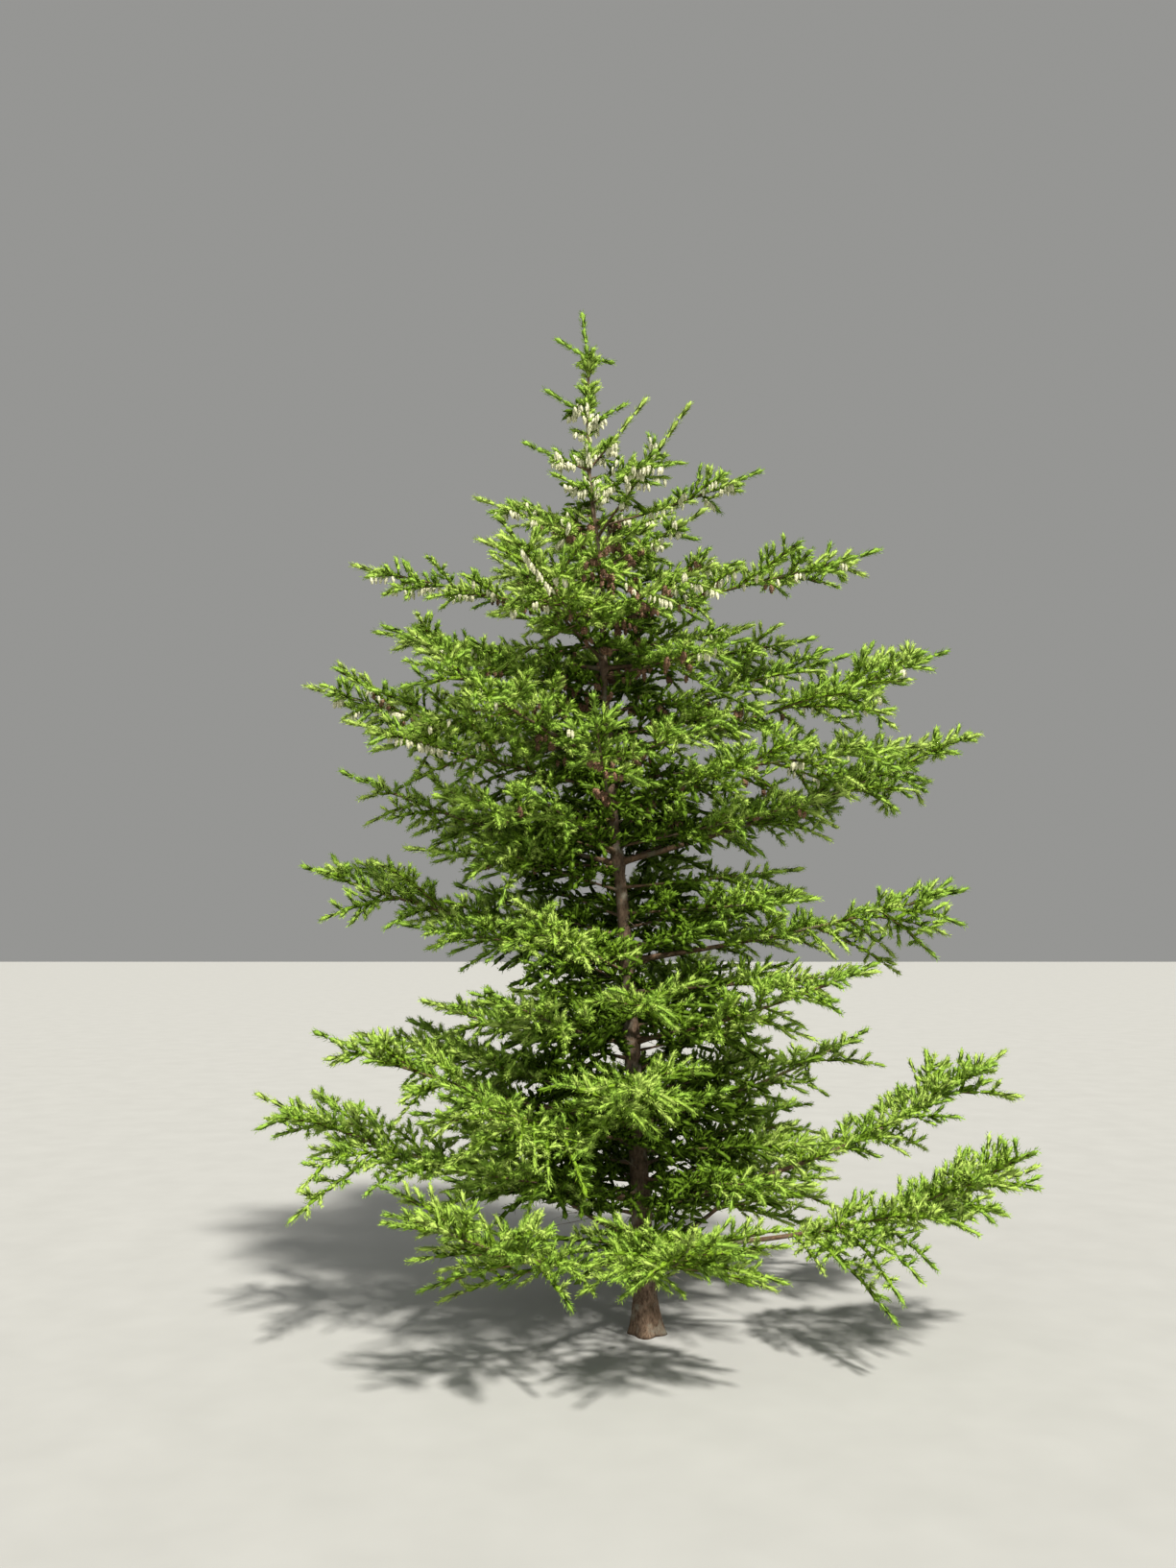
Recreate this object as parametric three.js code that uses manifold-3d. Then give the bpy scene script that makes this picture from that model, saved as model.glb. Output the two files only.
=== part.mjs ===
// A young red spruce grown in the open: one leaning trunk, boughs in whorls with flat plumes of
// needle sprays, and hanging cones in the upper crown.
// Millimetres, +Z up. The origin is the middle of the flat cut at ground level. The viewer stands on
// the -Y side, with +X to the right. A compass angle is in degrees: 0 towards the viewer, 90 to the
// viewer's right, 180 away and 270 to the left.

import * as THREE from "three";
import { mergeVertices } from "three/addons/utils/BufferGeometryUtils.js";
import Module from "manifold-3d";

const wasm = await Module();
wasm.setup();

// Trunk: its height to the top whorl, the leader above that, and its radius at the foot and the top.
const TRUNK_HEIGHT = 4170;
const TREE_HEIGHT = 4390;
const FOOT_RADIUS = 47;
const TOP_RADIUS = 5;
const TAPER_POWER = 1.3;
const TRUNK_SIDES = 10;
const TRUNK_RINGS = [0, 25, 70, 140, 260, 500, 850, 1350, 1900, 2500, 3100, 3650, TRUNK_HEIGHT];

// The trunk's lean and slow bends: [height, sideways offset, offset away from the viewer].
const TRUNK_LINE = [
  [0, 0, 0],
  [740, -34, 6],
  [1670, -88, 14],
  [2140, -135, 6],
  [2760, -171, 10],
  [3160, -182, 20],
  [3690, -238, 12],
  [4170, -240, 4],
  [TREE_HEIGHT, -268, 0],
];

// Root flare: how much wider the foot is, how fast that fades upwards, and its buttresses.
const FLARE_SHARE = 0.55;
const FLARE_FADE = 90;
const BUTTRESSES = 4;
const BUTTRESS_SHARE = 0.16;
const BUTTRESS_TURN = 0.6;

// Whorls from the ground up. upturn is how much of the rise is left to the bough's outer end, and
// each bough is [compass angle, reach, rise, share of its length that is bare limb].
const WHORLS = [
  {
    height: 330,
    upturn: 0.8,
    boughs: [
      [10, 1210, 380, 0.3],
      [74, 1570, 380, 0.32],
      [146, 1500, 350, 0.34],
      [214, 1500, 350, 0.34],
      [329, 1400, 400, 0.3],
    ],
  },
  {
    height: 540,
    upturn: 0.7,
    boughs: [
      [95, 1650, 600, 0.32],
      [180, 1460, 420, 0],
      [273, 1590, 440, 0.3],
    ],
  },
  {
    height: 850,
    upturn: 0.5,
    boughs: [
      [118, 1260, 350, 0],
      [238, 1230, 340, 0],
      [291, 1330, 400, 0],
      [352, 950, 200, 0],
    ],
  },
  {
    height: 1180,
    upturn: 0.4,
    boughs: [
      [55, 1090, 340, 0],
      [164, 1310, 350, 0],
      [316, 900, 260, 0],
    ],
  },
  {
    height: 1520,
    upturn: 0.35,
    boughs: [
      [83, 1410, 300, 0.2],
      [137, 1240, 300, 0],
      [204, 1260, 340, 0],
      [268, 1370, 370, 0.2],
    ],
  },
  {
    height: 1930,
    upturn: 0.3,
    boughs: [
      [95, 1620, 600, 0.2],
      [170, 1240, 370, 0],
      [274, 1180, 380, 0],
      [333, 700, 230, 0],
    ],
  },
  { height: 2110, upturn: 0.1, boughs: [[352, 830, 400, 0]] },
  {
    height: 2360,
    upturn: 0.3,
    boughs: [
      [37, 640, 110, 0],
      [90, 1460, 430, 0.18],
      [190, 1190, 370, 0],
      [275, 1320, 310, 0],
      [318, 1230, 340, 0],
    ],
  },
  {
    height: 2770,
    upturn: 0.25,
    boughs: [
      [92, 930, 130, 0],
      [176, 990, 340, 0],
      [264, 1030, 190, 0],
      [326, 710, 350, 0],
    ],
  },
  {
    height: 3010,
    upturn: 0.2,
    boughs: [
      [80, 1200, 230, 0],
      [196, 860, 300, 0],
      [276, 1110, 240, 0],
    ],
  },
  { height: 3180, upturn: 0.1, boughs: [[268, 500, 170, 0]] },
  {
    height: 3360,
    upturn: 0.2,
    boughs: [
      [40, 540, 470, 0],
      [88, 740, 240, 0],
      [155, 620, 300, 0],
      [218, 600, 300, 0],
      [283, 560, 130, 0],
    ],
  },
  {
    height: 3680,
    upturn: 0.1,
    boughs: [
      [74, 270, 310, 0],
      [172, 320, 220, 0],
      [272, 300, 130, 0],
    ],
  },
  {
    height: 3880,
    upturn: 0.1,
    boughs: [
      [108, 200, 130, 0],
      [298, 230, 70, 0],
    ],
  },
];

// A limb's radius where it leaves the trunk grows with its reach, up to a share of the trunk's own
// radius there, and its tip is this slim.
const LIMB_BASE_RADIUS = 5;
const LIMB_RADIUS_PER_REACH = 0.0062;
const LIMB_SHARE_OF_TRUNK = 0.6;
const LIMB_TIP_RADIUS = 4.5;
const LIMB_SIDES = 6;
const LIMB_STEPS = 4;
const STEM_SIDES = 3;
const STEM_STEP = 260;
const SWAY_DEGREES = 7;
// The boughs of a whorl leave the trunk at two levels, about this far apart.
const WHORL_STAGGER = 44;

// A plume: side sprays in pairs along the stem, longest a third of the way out, swept forwards by
// fewer degrees further in. Each is a little longer or shorter, and is tilted and rolled at random.
const PAIR_STEP = 235;
const SPRAY_SHARE = 0.4;
const SHORTEST_SPRAY = 95;
const SWELL_START = 0.25;
const INNER_SWEEP = 62;
const OUTER_SWEEP = 34;
const SWEEP_SPREAD = 6;
const LENGTH_SPREAD = 0.14;
const MOST_TILT = 26;
const MOST_ROLL = 52;
const DROOP_SHARE = 0.16;
const TIP_SPRAY = 150;

// A spray is a toothed blade, thick along its midrib, whose teeth are its side shoots.
const TOOTH_PITCH = 185;
const MOST_TEETH = 3;
const SPRAY_WIDTH_SHARE = 0.44;
const NARROWEST_SPRAY = 42;
const WIDEST_SPRAY = 200;
const NOTCH_SHARE = 0.3;
const TOOTH_LEAN = 0.95;
const TIP_PITCH_SHARE = 0.7;
const BLADE_TAPER = 0.5;
const MIDRIB_THICKNESS = 13;
// A spray's stalk grows from its neck, inside the stem, to its full width.
const NECK_SHARE = 0.7;
const STALK = 24;
const STALK_WIDTH = 7;
const ROOT_SINK = 12;

// The top whorl, round the foot of the leader: [compass angle, reach, rise] of each short shoot.
const LEADER_SHOOTS = [
  [276, 152, 88],
  [84, 124, -26],
  [222, 86, -8],
  [150, 118, 30],
  [20, 96, 10],
];
const SHOOT_WIDTH = 26;

// The leader's brush of needles: [share of its height, radius], with a bare foot.
const LEADER_OUTLINE = [
  [0, 0],
  [0, TOP_RADIUS],
  [0.16, TOP_RADIUS],
  [0.26, 13],
  [0.5, 8],
  [0.56, 13],
  [0.84, 7],
  [0.88, 10],
  [1, 0],
];
const LEADER_SIDES = 6;

// Cones hang below the stems of the upper whorls, along the middle of each plume.
const CONE_LENGTH = 45;
const CONE_RADIUS = 9;
const CONE_SIDES = 5;
const CONE_LOWEST_WHORL = 7;
const CONES_PER_METRE = 1.9;
const FIRST_CONE = 0.3;
const LAST_CONE = 0.72;

// Free room: between a limb and the trunk, and between sprays of neighbouring plumes.
const SEAT_GAP = 0.5;
const SPRAY_GAP = 3;
// A spray keeps to its own bough's space, which is measured at these shares of each bough's reach.
const LINE_SAMPLES = [0.15, 0.3, 0.45, 0.6, 0.75, 0.9, 1];
// A spray that has no room is tried at these shares of its length, and then left out.
const SHORTER_TRIES = [1, 0.72, 0.5];
// Where fused pieces cross, anything finer than this is smoothed away.
const FINEST_DETAIL = 0.3;

const COLOURS = {
  bark: { color: 0x6b5646, roughness: 0.9, metalness: 0 },
  needles: { color: 0x6c8f3a, roughness: 0.75, metalness: 0 },
};

const UP = new THREE.Vector3(0, 0, 1);
const radians = THREE.MathUtils.degToRad;

// A repeatable number from -1 to 1 for up to three whole numbers.
function jitter(a, b = 0, c = 0) {
  const wave = Math.sin(a * 12.9898 + b * 78.233 + c * 37.719) * 43758.5453;
  return 2 * (wave - Math.floor(wave)) - 1;
}

// The trunk's middle at a height: a cubic from point to point of its line, with no kink between.
function trunkAt(height) {
  const last = TRUNK_LINE.length - 1;
  const above = TRUNK_LINE.findIndex(([level]) => level > height);
  const i = (above < 0 ? last : above) - 1;
  const point = (j) => TRUNK_LINE[THREE.MathUtils.clamp(j, 0, last)];
  const slope = (j, axis) =>
    (point(j + 1)[axis] - point(j - 1)[axis]) / (point(j + 1)[0] - point(j - 1)[0]);
  const span = point(i + 1)[0] - point(i)[0];
  const t = (height - point(i)[0]) / span;
  const offset = (axis) =>
    (2 * t ** 3 - 3 * t ** 2 + 1) * point(i)[axis] +
    (t ** 3 - 2 * t ** 2 + t) * span * slope(i, axis) +
    (3 * t ** 2 - 2 * t ** 3) * point(i + 1)[axis] +
    (t ** 3 - t ** 2) * span * slope(i + 1, axis);
  return new THREE.Vector3(offset(1), offset(2), height);
}

// The trunk's radius at a height, in a direction round it.
function trunkRadius(height, angle) {
  const share = Math.max(0, 1 - height / TRUNK_HEIGHT);
  const plain = TOP_RADIUS + (FOOT_RADIUS - TOP_RADIUS) * share ** TAPER_POWER;
  const fade = Math.exp(-height / FLARE_FADE);
  const buttress = 1 + BUTTRESS_SHARE * fade * Math.cos(BUTTRESSES * angle + BUTTRESS_TURN);
  return plain * (1 + FLARE_SHARE * fade) * buttress;
}

// A closed mesh as a solid. Its vertices are merged by place alone.
function solid(geometry) {
  geometry.deleteAttribute("normal");
  geometry.deleteAttribute("uv");
  const merged = mergeVertices(geometry, 1e-3);
  return new wasm.Manifold(
    new wasm.Mesh({
      numProp: 3,
      vertProperties: merged.attributes.position.array,
      triVerts: new Uint32Array(merged.index.array),
    }),
  );
}

// One body from pieces that cross, with what is too fine smoothed away and loose scraps left out.
function fused(pieces) {
  const { numProp, vertProperties, triVerts } = wasm.Manifold.union(pieces).getMesh();
  const whole = new wasm.Manifold(new wasm.Mesh({ numProp, vertProperties, triVerts }));
  const bodies = whole.simplify(FINEST_DETAIL).decompose();
  return bodies.sort((a, b) => b.volume() - a.volume())[0];
}

// The trunk: a cylinder whose rings are moved along its line. grow makes it stand that much prouder.
function trunkSolid(grow) {
  const rings = new THREE.CylinderGeometry(1, 1, 1, TRUNK_SIDES, TRUNK_RINGS.length - 1);
  const place = rings.attributes.position;
  for (let i = 0; i < place.count; i++) {
    const height = TRUNK_RINGS[Math.round((place.getY(i) + 0.5) * (TRUNK_RINGS.length - 1))];
    const reach = Math.hypot(place.getX(i), place.getZ(i));
    const angle = Math.atan2(-place.getZ(i), place.getX(i));
    const middle = trunkAt(height);
    const radius = reach * (trunkRadius(height, angle) + grow);
    place.setXYZ(i, middle.x + radius * Math.cos(angle), middle.y + radius * Math.sin(angle), height);
  }
  return solid(rings);
}

// Where a bough's middle line is, at a share of its reach.
function boughPoint(bough, share) {
  const angle = radians(bough.angle + SWAY_DEGREES * jitter(bough.index, 1) * share);
  const along = bough.reach * share;
  const lift = bough.rise * ((1 - bough.upturn) * share + bough.upturn * share * share);
  return new THREE.Vector3(Math.sin(angle) * along, -Math.cos(angle) * along, lift).add(
    bough.foot,
  );
}

// The bough's own directions at a share of its reach: along it, sideways and its upper side.
function boughFrame(bough, share) {
  const nearby = 0.01;
  const along = boughPoint(bough, share + nearby)
    .sub(boughPoint(bough, share - nearby))
    .normalize();
  const side = along.clone().cross(UP).normalize();
  return { point: boughPoint(bough, share), along, side, top: side.clone().cross(along) };
}

// A bough's radius at a share of its reach.
function boughRadius(bough, share) {
  const most = LIMB_SHARE_OF_TRUNK * trunkRadius(bough.foot.z, 0);
  const base = Math.min(most, LIMB_BASE_RADIUS + LIMB_RADIUS_PER_REACH * bough.reach);
  return base + (Math.min(base, LIMB_TIP_RADIUS) - base) * share;
}

// A tapering tube on a bough's line, from one share of its reach to another.
function limbSolid(bough, from, to, sides, steps) {
  const rings = new THREE.CylinderGeometry(1, 1, 1, sides, steps);
  const place = rings.attributes.position;
  for (let i = 0; i < place.count; i++) {
    const share = from + (to - from) * (place.getY(i) + 0.5);
    const frame = boughFrame(bough, share);
    const radius = boughRadius(bough, share);
    const point = frame.point
      .addScaledVector(frame.side, place.getX(i) * radius)
      .addScaledVector(frame.top, place.getZ(i) * radius);
    place.setXYZ(i, point.x, point.y, point.z);
  }
  return solid(rings);
}

// A toothed blade on a short stalk, from a root point: flat is its upper face's direction. It is flat
// below, and above it slopes from a midrib to its teeth and notches.
function bladeSolid({ root, neck, along, flat, length, width, teeth }) {
  const side = along.clone().cross(flat).normalize();
  const top = side.clone().cross(along);
  const points = [];
  const at = (distance, across, lift) =>
    points.push(
      root
        .clone()
        .addScaledVector(along, distance)
        .addScaledVector(side, across)
        .addScaledVector(top, lift),
    ) - 1;
  const pitch = (length - STALK) / (teeth + TIP_PITCH_SHARE);
  const outline = [
    [0, neck / 2],
    [STALK, STALK_WIDTH / 2],
  ];
  for (let i = 1; i <= teeth; i++) {
    const half = (width / 2) * (1 - (BLADE_TAPER * (i - 1)) / teeth);
    outline.push([STALK + pitch * (i - 1 + TOOTH_LEAN), half]);
    outline.push([STALK + pitch * i, NOTCH_SHARE * half]);
  }
  const last = outline.length - 1;
  const bend = 2 * Math.ceil(teeth / 2) + 1;
  const under = -STALK_WIDTH / 3;
  const ridge = [
    at(0, 0, neck / 2),
    at(STALK, 0, STALK_WIDTH / 2),
    at(outline[bend][0], 0, under + MIDRIB_THICKNESS),
  ];
  const [left, right] = [-1, 1].map((hand) =>
    outline.map(([distance, across], i) => at(distance, hand * across, i ? under : -neck / 3)),
  );
  const end = at(length, 0, under);
  const faces = [ridge[0], left[0], right[0], left[last], end, right[last]];
  for (let j = 0; j < last; j++) {
    faces.push(left[j], left[j + 1], right[j + 1], left[j], right[j + 1], right[j]);
  }
  for (const [edge, turned] of [
    [right, false],
    [left, true],
  ]) {
    const slope = (a, b, c) => faces.push(...(turned ? [a, c, b] : [a, b, c]));
    slope(ridge[0], edge[0], edge[1]);
    slope(ridge[0], edge[1], ridge[1]);
    for (let j = 1; j <= last; j++) {
      slope(ridge[j < bend ? 1 : 2], edge[j], j < last ? edge[j + 1] : end);
    }
    slope(ridge[1], edge[bend], ridge[2]);
  }
  const geometry = new THREE.BufferGeometry().setFromPoints(points);
  geometry.setIndex(faces);
  return solid(geometry);
}

// A hanging cone: a spindle with its upper end at a point.
function coneSolid(top) {
  const spindle = new THREE.SphereGeometry(1, CONE_SIDES, 3);
  spindle.rotateX(Math.PI / 2);
  spindle.scale(CONE_RADIUS, CONE_RADIUS, CONE_LENGTH / 2);
  spindle.translate(top.x, top.y, top.z - CONE_LENGTH / 2);
  return solid(spindle);
}

// The side sprays of a plume, from the foliage's inner end outwards.
function sprayPlan(bough) {
  const plan = [];
  const leafy = bough.reach * (1 - bough.bare);
  const pairs = Math.max(2, Math.round(leafy / PAIR_STEP));
  for (let k = 0; k < 2 * pairs; k++) {
    const out = (k + 0.9) / (2 * pairs + 1);
    const swell = Math.sin(Math.PI * (SWELL_START + (1 - SWELL_START) * out));
    plan.push({
      share: bough.bare + (1 - bough.bare) * out,
      hand: k % 2 ? 1 : -1,
      length:
        Math.max(SHORTEST_SPRAY, SPRAY_SHARE * bough.reach * swell) *
        (1 + LENGTH_SPREAD * jitter(bough.index, k, 2)),
      sweep:
        INNER_SWEEP + (OUTER_SWEEP - INNER_SWEEP) * out + SWEEP_SPREAD * jitter(bough.index, k, 3),
      tilt: MOST_TILT * jitter(bough.index, k, 4),
      roll: MOST_ROLL * jitter(bough.index, k, 6),
    });
  }
  return plan;
}

// The way from a side spray's root to its tip, one long: swept forwards, tilted up or down, and then
// lower for its droop.
function sprayDirection(frame, hand, sweep, tilt) {
  return frame.along
    .clone()
    .multiplyScalar(Math.cos(radians(sweep)))
    .addScaledVector(frame.side, hand * Math.sin(radians(sweep)))
    .addScaledVector(frame.top, Math.sin(radians(tilt)))
    .normalize()
    .addScaledVector(UP, -DROOP_SHARE)
    .normalize();
}

// A spray from a stem's middle, with as many teeth as its length holds.
function sprayBlade(frame, neck, along, length, roll) {
  const teeth = THREE.MathUtils.clamp(Math.round(length / TOOTH_PITCH), 1, MOST_TEETH);
  return bladeSolid({
    root: frame.point,
    neck,
    along,
    flat: frame.top.clone().applyAxisAngle(along, radians(roll)),
    length,
    width: THREE.MathUtils.clamp(length * SPRAY_WIDTH_SHARE, NARROWEST_SPRAY, WIDEST_SPRAY),
    teeth,
  });
}

// True if a point is nearer to its own bough's line than to any other bough's.
function inOwnSpace(point, bough, boughs) {
  const gapTo = (other) =>
    Math.min(...other.line.map((sample) => sample.distanceToSquared(point)));
  const own = gapTo(bough);
  return boughs.every((other) => other === bough || gapTo(other) > own);
}

// True if a solid keeps a gap to all the others.
const clearOf = (piece, others, gap) => others.every((other) => piece.minGap(other, gap) >= gap);

// Solids that a new spray must stay clear of, with the boxes that spare most of the measuring.
class Taken {
  entries = [];
  add(owner, piece) {
    this.entries.push({ owner, piece, box: piece.boundingBox() });
  }
  near(owner, piece, gap) {
    const box = piece.boundingBox();
    return this.entries
      .filter(
        (entry) =>
          entry.owner !== owner &&
          [0, 1, 2].every(
            (axis) =>
              entry.box.min[axis] < box.max[axis] + gap &&
              entry.box.max[axis] > box.min[axis] - gap,
          ),
      )
      .map((entry) => entry.piece);
  }
}

// Every bough, with its foot on the trunk's middle and points on its line for measuring.
const boughs = [];
WHORLS.forEach((whorl, w) => {
  whorl.boughs.forEach(([angle, reach, rise, bare], i) => {
    const index = boughs.length;
    const height = whorl.height + WHORL_STAGGER * ((i % 2) - 0.5 + 0.25 * jitter(index, 5));
    const bough = {
      index,
      name: `${w + 1}${"abcde"[i]}`,
      whorl: w,
      angle,
      reach,
      rise,
      bare,
      upturn: whorl.upturn,
      foot: trunkAt(height),
    };
    bough.line = LINE_SAMPLES.map((share) => boughPoint(bough, share));
    boughs.push(bough);
  });
});

const trunk = trunkSolid(0);
const seat = trunkSolid(SEAT_GAP);
const taken = new Taken();
taken.add("trunk", trunk);

// Limbs and stems come first, so that every spray can be kept clear of them.
for (const bough of boughs) {
  const from = bough.bare;
  if (from > 0) {
    bough.limb = limbSolid(bough, 0, from, LIMB_SIDES, LIMB_STEPS).subtract(seat);
    taken.add(bough.name + "_limb", bough.limb);
  }
  const start = from > 0 ? from + SEAT_GAP / bough.reach : 0;
  const end = 1 - (TIP_SPRAY - ROOT_SINK) / bough.reach;
  const steps = Math.max(2, Math.round((bough.reach * (end - start)) / STEM_STEP));
  bough.stem = limbSolid(bough, start, end, STEM_SIDES, steps);
  if (from === 0) bough.stem = bough.stem.subtract(seat);
  taken.add(bough.name, bough.stem);
}

// One mass of foliage: the stem with its sprays and cones fused on.
function foliageSolid(bough) {
  const parts = [bough.stem];
  const tryAdd = (piece) => {
    const fits = clearOf(piece, taken.near(bough.name, piece, SPRAY_GAP), SPRAY_GAP);
    if (fits) parts.push(piece);
    return fits;
  };
  for (const { share, hand, length, sweep, tilt, roll } of sprayPlan(bough)) {
    const frame = boughFrame(bough, share);
    const neck = NECK_SHARE * boughRadius(bough, share);
    const along = sprayDirection(frame, hand, sweep, tilt);
    SHORTER_TRIES.some((trim) => {
      const tip = frame.point.clone().addScaledVector(along, length * trim);
      return (
        inOwnSpace(tip, bough, boughs) &&
        tryAdd(sprayBlade(frame, neck, along, length * trim, roll))
      );
    });
  }
  const tip = boughFrame(bough, 1 - TIP_SPRAY / bough.reach);
  const toEnd = boughPoint(bough, 1).sub(tip.point);
  tryAdd(sprayBlade(tip, LIMB_TIP_RADIUS, toEnd.clone().normalize(), toEnd.length(), 0));
  if (bough.whorl + 1 >= CONE_LOWEST_WHORL) {
    const count = Math.round((CONES_PER_METRE * bough.reach) / 1000);
    for (let k = 0; k < count; k++) {
      const share = FIRST_CONE + ((LAST_CONE - FIRST_CONE) * (k + 0.5)) / count;
      tryAdd(coneSolid(boughPoint(bough, share)));
    }
  }
  const whole = fused(parts);
  taken.add(bough.name, whole);
  return whole;
}

// The leader above the top whorl: its ringed needles round one stem, and the short shoots at its foot.
function leaderSolid() {
  const foot = trunkAt(TRUNK_HEIGHT + SEAT_GAP);
  const rise = trunkAt(TREE_HEIGHT).sub(foot);
  const outline = LEADER_OUTLINE.map(([share, radius]) => new THREE.Vector2(radius, share));
  const brush = new THREE.LatheGeometry(outline, LEADER_SIDES);
  const lean = new THREE.Matrix4();
  lean.makeBasis(new THREE.Vector3(1, 0, 0), rise, new THREE.Vector3(0, -1, 0));
  brush.applyMatrix4(lean.setPosition(foot));
  const shoots = LEADER_SHOOTS.map(([angle, reach, lift]) => {
    const turn = radians(angle);
    const out = new THREE.Vector3(Math.sin(turn) * reach, -Math.cos(turn) * reach, lift);
    return bladeSolid({
      root: foot.clone().addScaledVector(UP, ROOT_SINK),
      neck: TOP_RADIUS,
      along: out.clone().normalize(),
      flat: UP,
      length: out.length(),
      width: SHOOT_WIDTH,
      teeth: 1,
    });
  });
  return fused([solid(brush), ...shoots]);
}

// A named mesh of a solid, in one of the tree's colours.
function mesh(piece, name, look) {
  const { numProp, vertProperties, triVerts } = piece.getMesh();
  const geometry = new THREE.BufferGeometry();
  const place = [];
  for (let i = 0; i < vertProperties.length; i += numProp) {
    place.push(vertProperties[i], vertProperties[i + 1], vertProperties[i + 2]);
  }
  geometry.setAttribute("position", new THREE.Float32BufferAttribute(place, 3));
  geometry.setIndex([...triVerts]);
  geometry.computeVertexNormals();
  const made = new THREE.Mesh(geometry, new THREE.MeshStandardMaterial(look));
  made.name = name;
  return made;
}

const tree = new THREE.Group();
tree.name = "red_spruce";
tree.add(mesh(trunk, "trunk", COLOURS.bark));
for (const bough of boughs) {
  if (bough.limb) tree.add(mesh(bough.limb, `bough_${bough.name}`, COLOURS.bark));
  tree.add(mesh(foliageSolid(bough), `foliage_${bough.name}`, COLOURS.needles));
}
tree.add(mesh(leaderSolid(), "foliage_leader", COLOURS.needles));

export default tree;
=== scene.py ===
"""The looks of a young red spruce grown in the open: bark, boughs, twigs, needles and cones.

Metres, +Z up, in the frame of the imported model: the origin is the middle of the flat cut at ground
level, and the photograph's viewer stands on the -Y side with +X to the right. A compass angle is in
degrees: 0 towards the viewer, 90 to the viewer's right, 180 away and 270 to the left.
"""

import math

import bpy
import numpy as np
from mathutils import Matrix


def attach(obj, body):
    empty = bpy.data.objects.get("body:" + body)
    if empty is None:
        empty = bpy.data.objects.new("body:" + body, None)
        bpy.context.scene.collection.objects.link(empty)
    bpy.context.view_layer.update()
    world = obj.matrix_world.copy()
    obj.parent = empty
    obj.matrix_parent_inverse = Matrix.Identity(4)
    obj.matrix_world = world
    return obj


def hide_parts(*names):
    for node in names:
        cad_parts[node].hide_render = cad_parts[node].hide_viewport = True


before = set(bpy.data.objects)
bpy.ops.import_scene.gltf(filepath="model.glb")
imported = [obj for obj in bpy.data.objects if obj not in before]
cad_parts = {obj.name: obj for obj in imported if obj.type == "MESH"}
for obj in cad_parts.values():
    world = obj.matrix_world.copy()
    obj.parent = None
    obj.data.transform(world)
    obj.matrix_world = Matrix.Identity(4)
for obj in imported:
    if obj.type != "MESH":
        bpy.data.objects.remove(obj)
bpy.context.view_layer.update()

SEED = 11
UP = np.array([0.0, 0.0, 1.0])
GOLDEN_ANGLE = math.pi * (3 - math.sqrt(5))

# Camera: where the photograph's viewer stands, how far up they look, and the lens for a 36 mm side.
EYE = (-0.24, -5.4, 1.6)
PITCH_DEGREES = 6.9
LENS_MM = 29.14
SENSOR_MM = 36.0

# Trunk: its height to the top whorl, the leader above that, and its radius at the foot and the top.
TRUNK_HEIGHT = 4.17
TREE_HEIGHT = 4.39
FOOT_RADIUS = 0.047
TOP_RADIUS = 0.005
TAPER_POWER = 1.3

# The trunk's lean and slow bends: height, sideways offset, offset away from the viewer.
TRUNK_LINE = np.array([
    (0, 0, 0),
    (0.74, -0.034, 0.006),
    (1.67, -0.088, 0.014),
    (2.14, -0.135, 0.006),
    (2.76, -0.171, 0.01),
    (3.16, -0.182, 0.02),
    (3.69, -0.238, 0.012),
    (4.17, -0.24, 0.004),
    (TREE_HEIGHT, -0.268, 0),
])

# Root flare: how much wider the foot is, how fast that fades upwards, and its buttresses.
FLARE_SHARE = 0.55
FLARE_FADE = 0.09
BUTTRESSES = 4
BUTTRESS_SHARE = 0.16
BUTTRESS_TURN = 0.6

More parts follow.
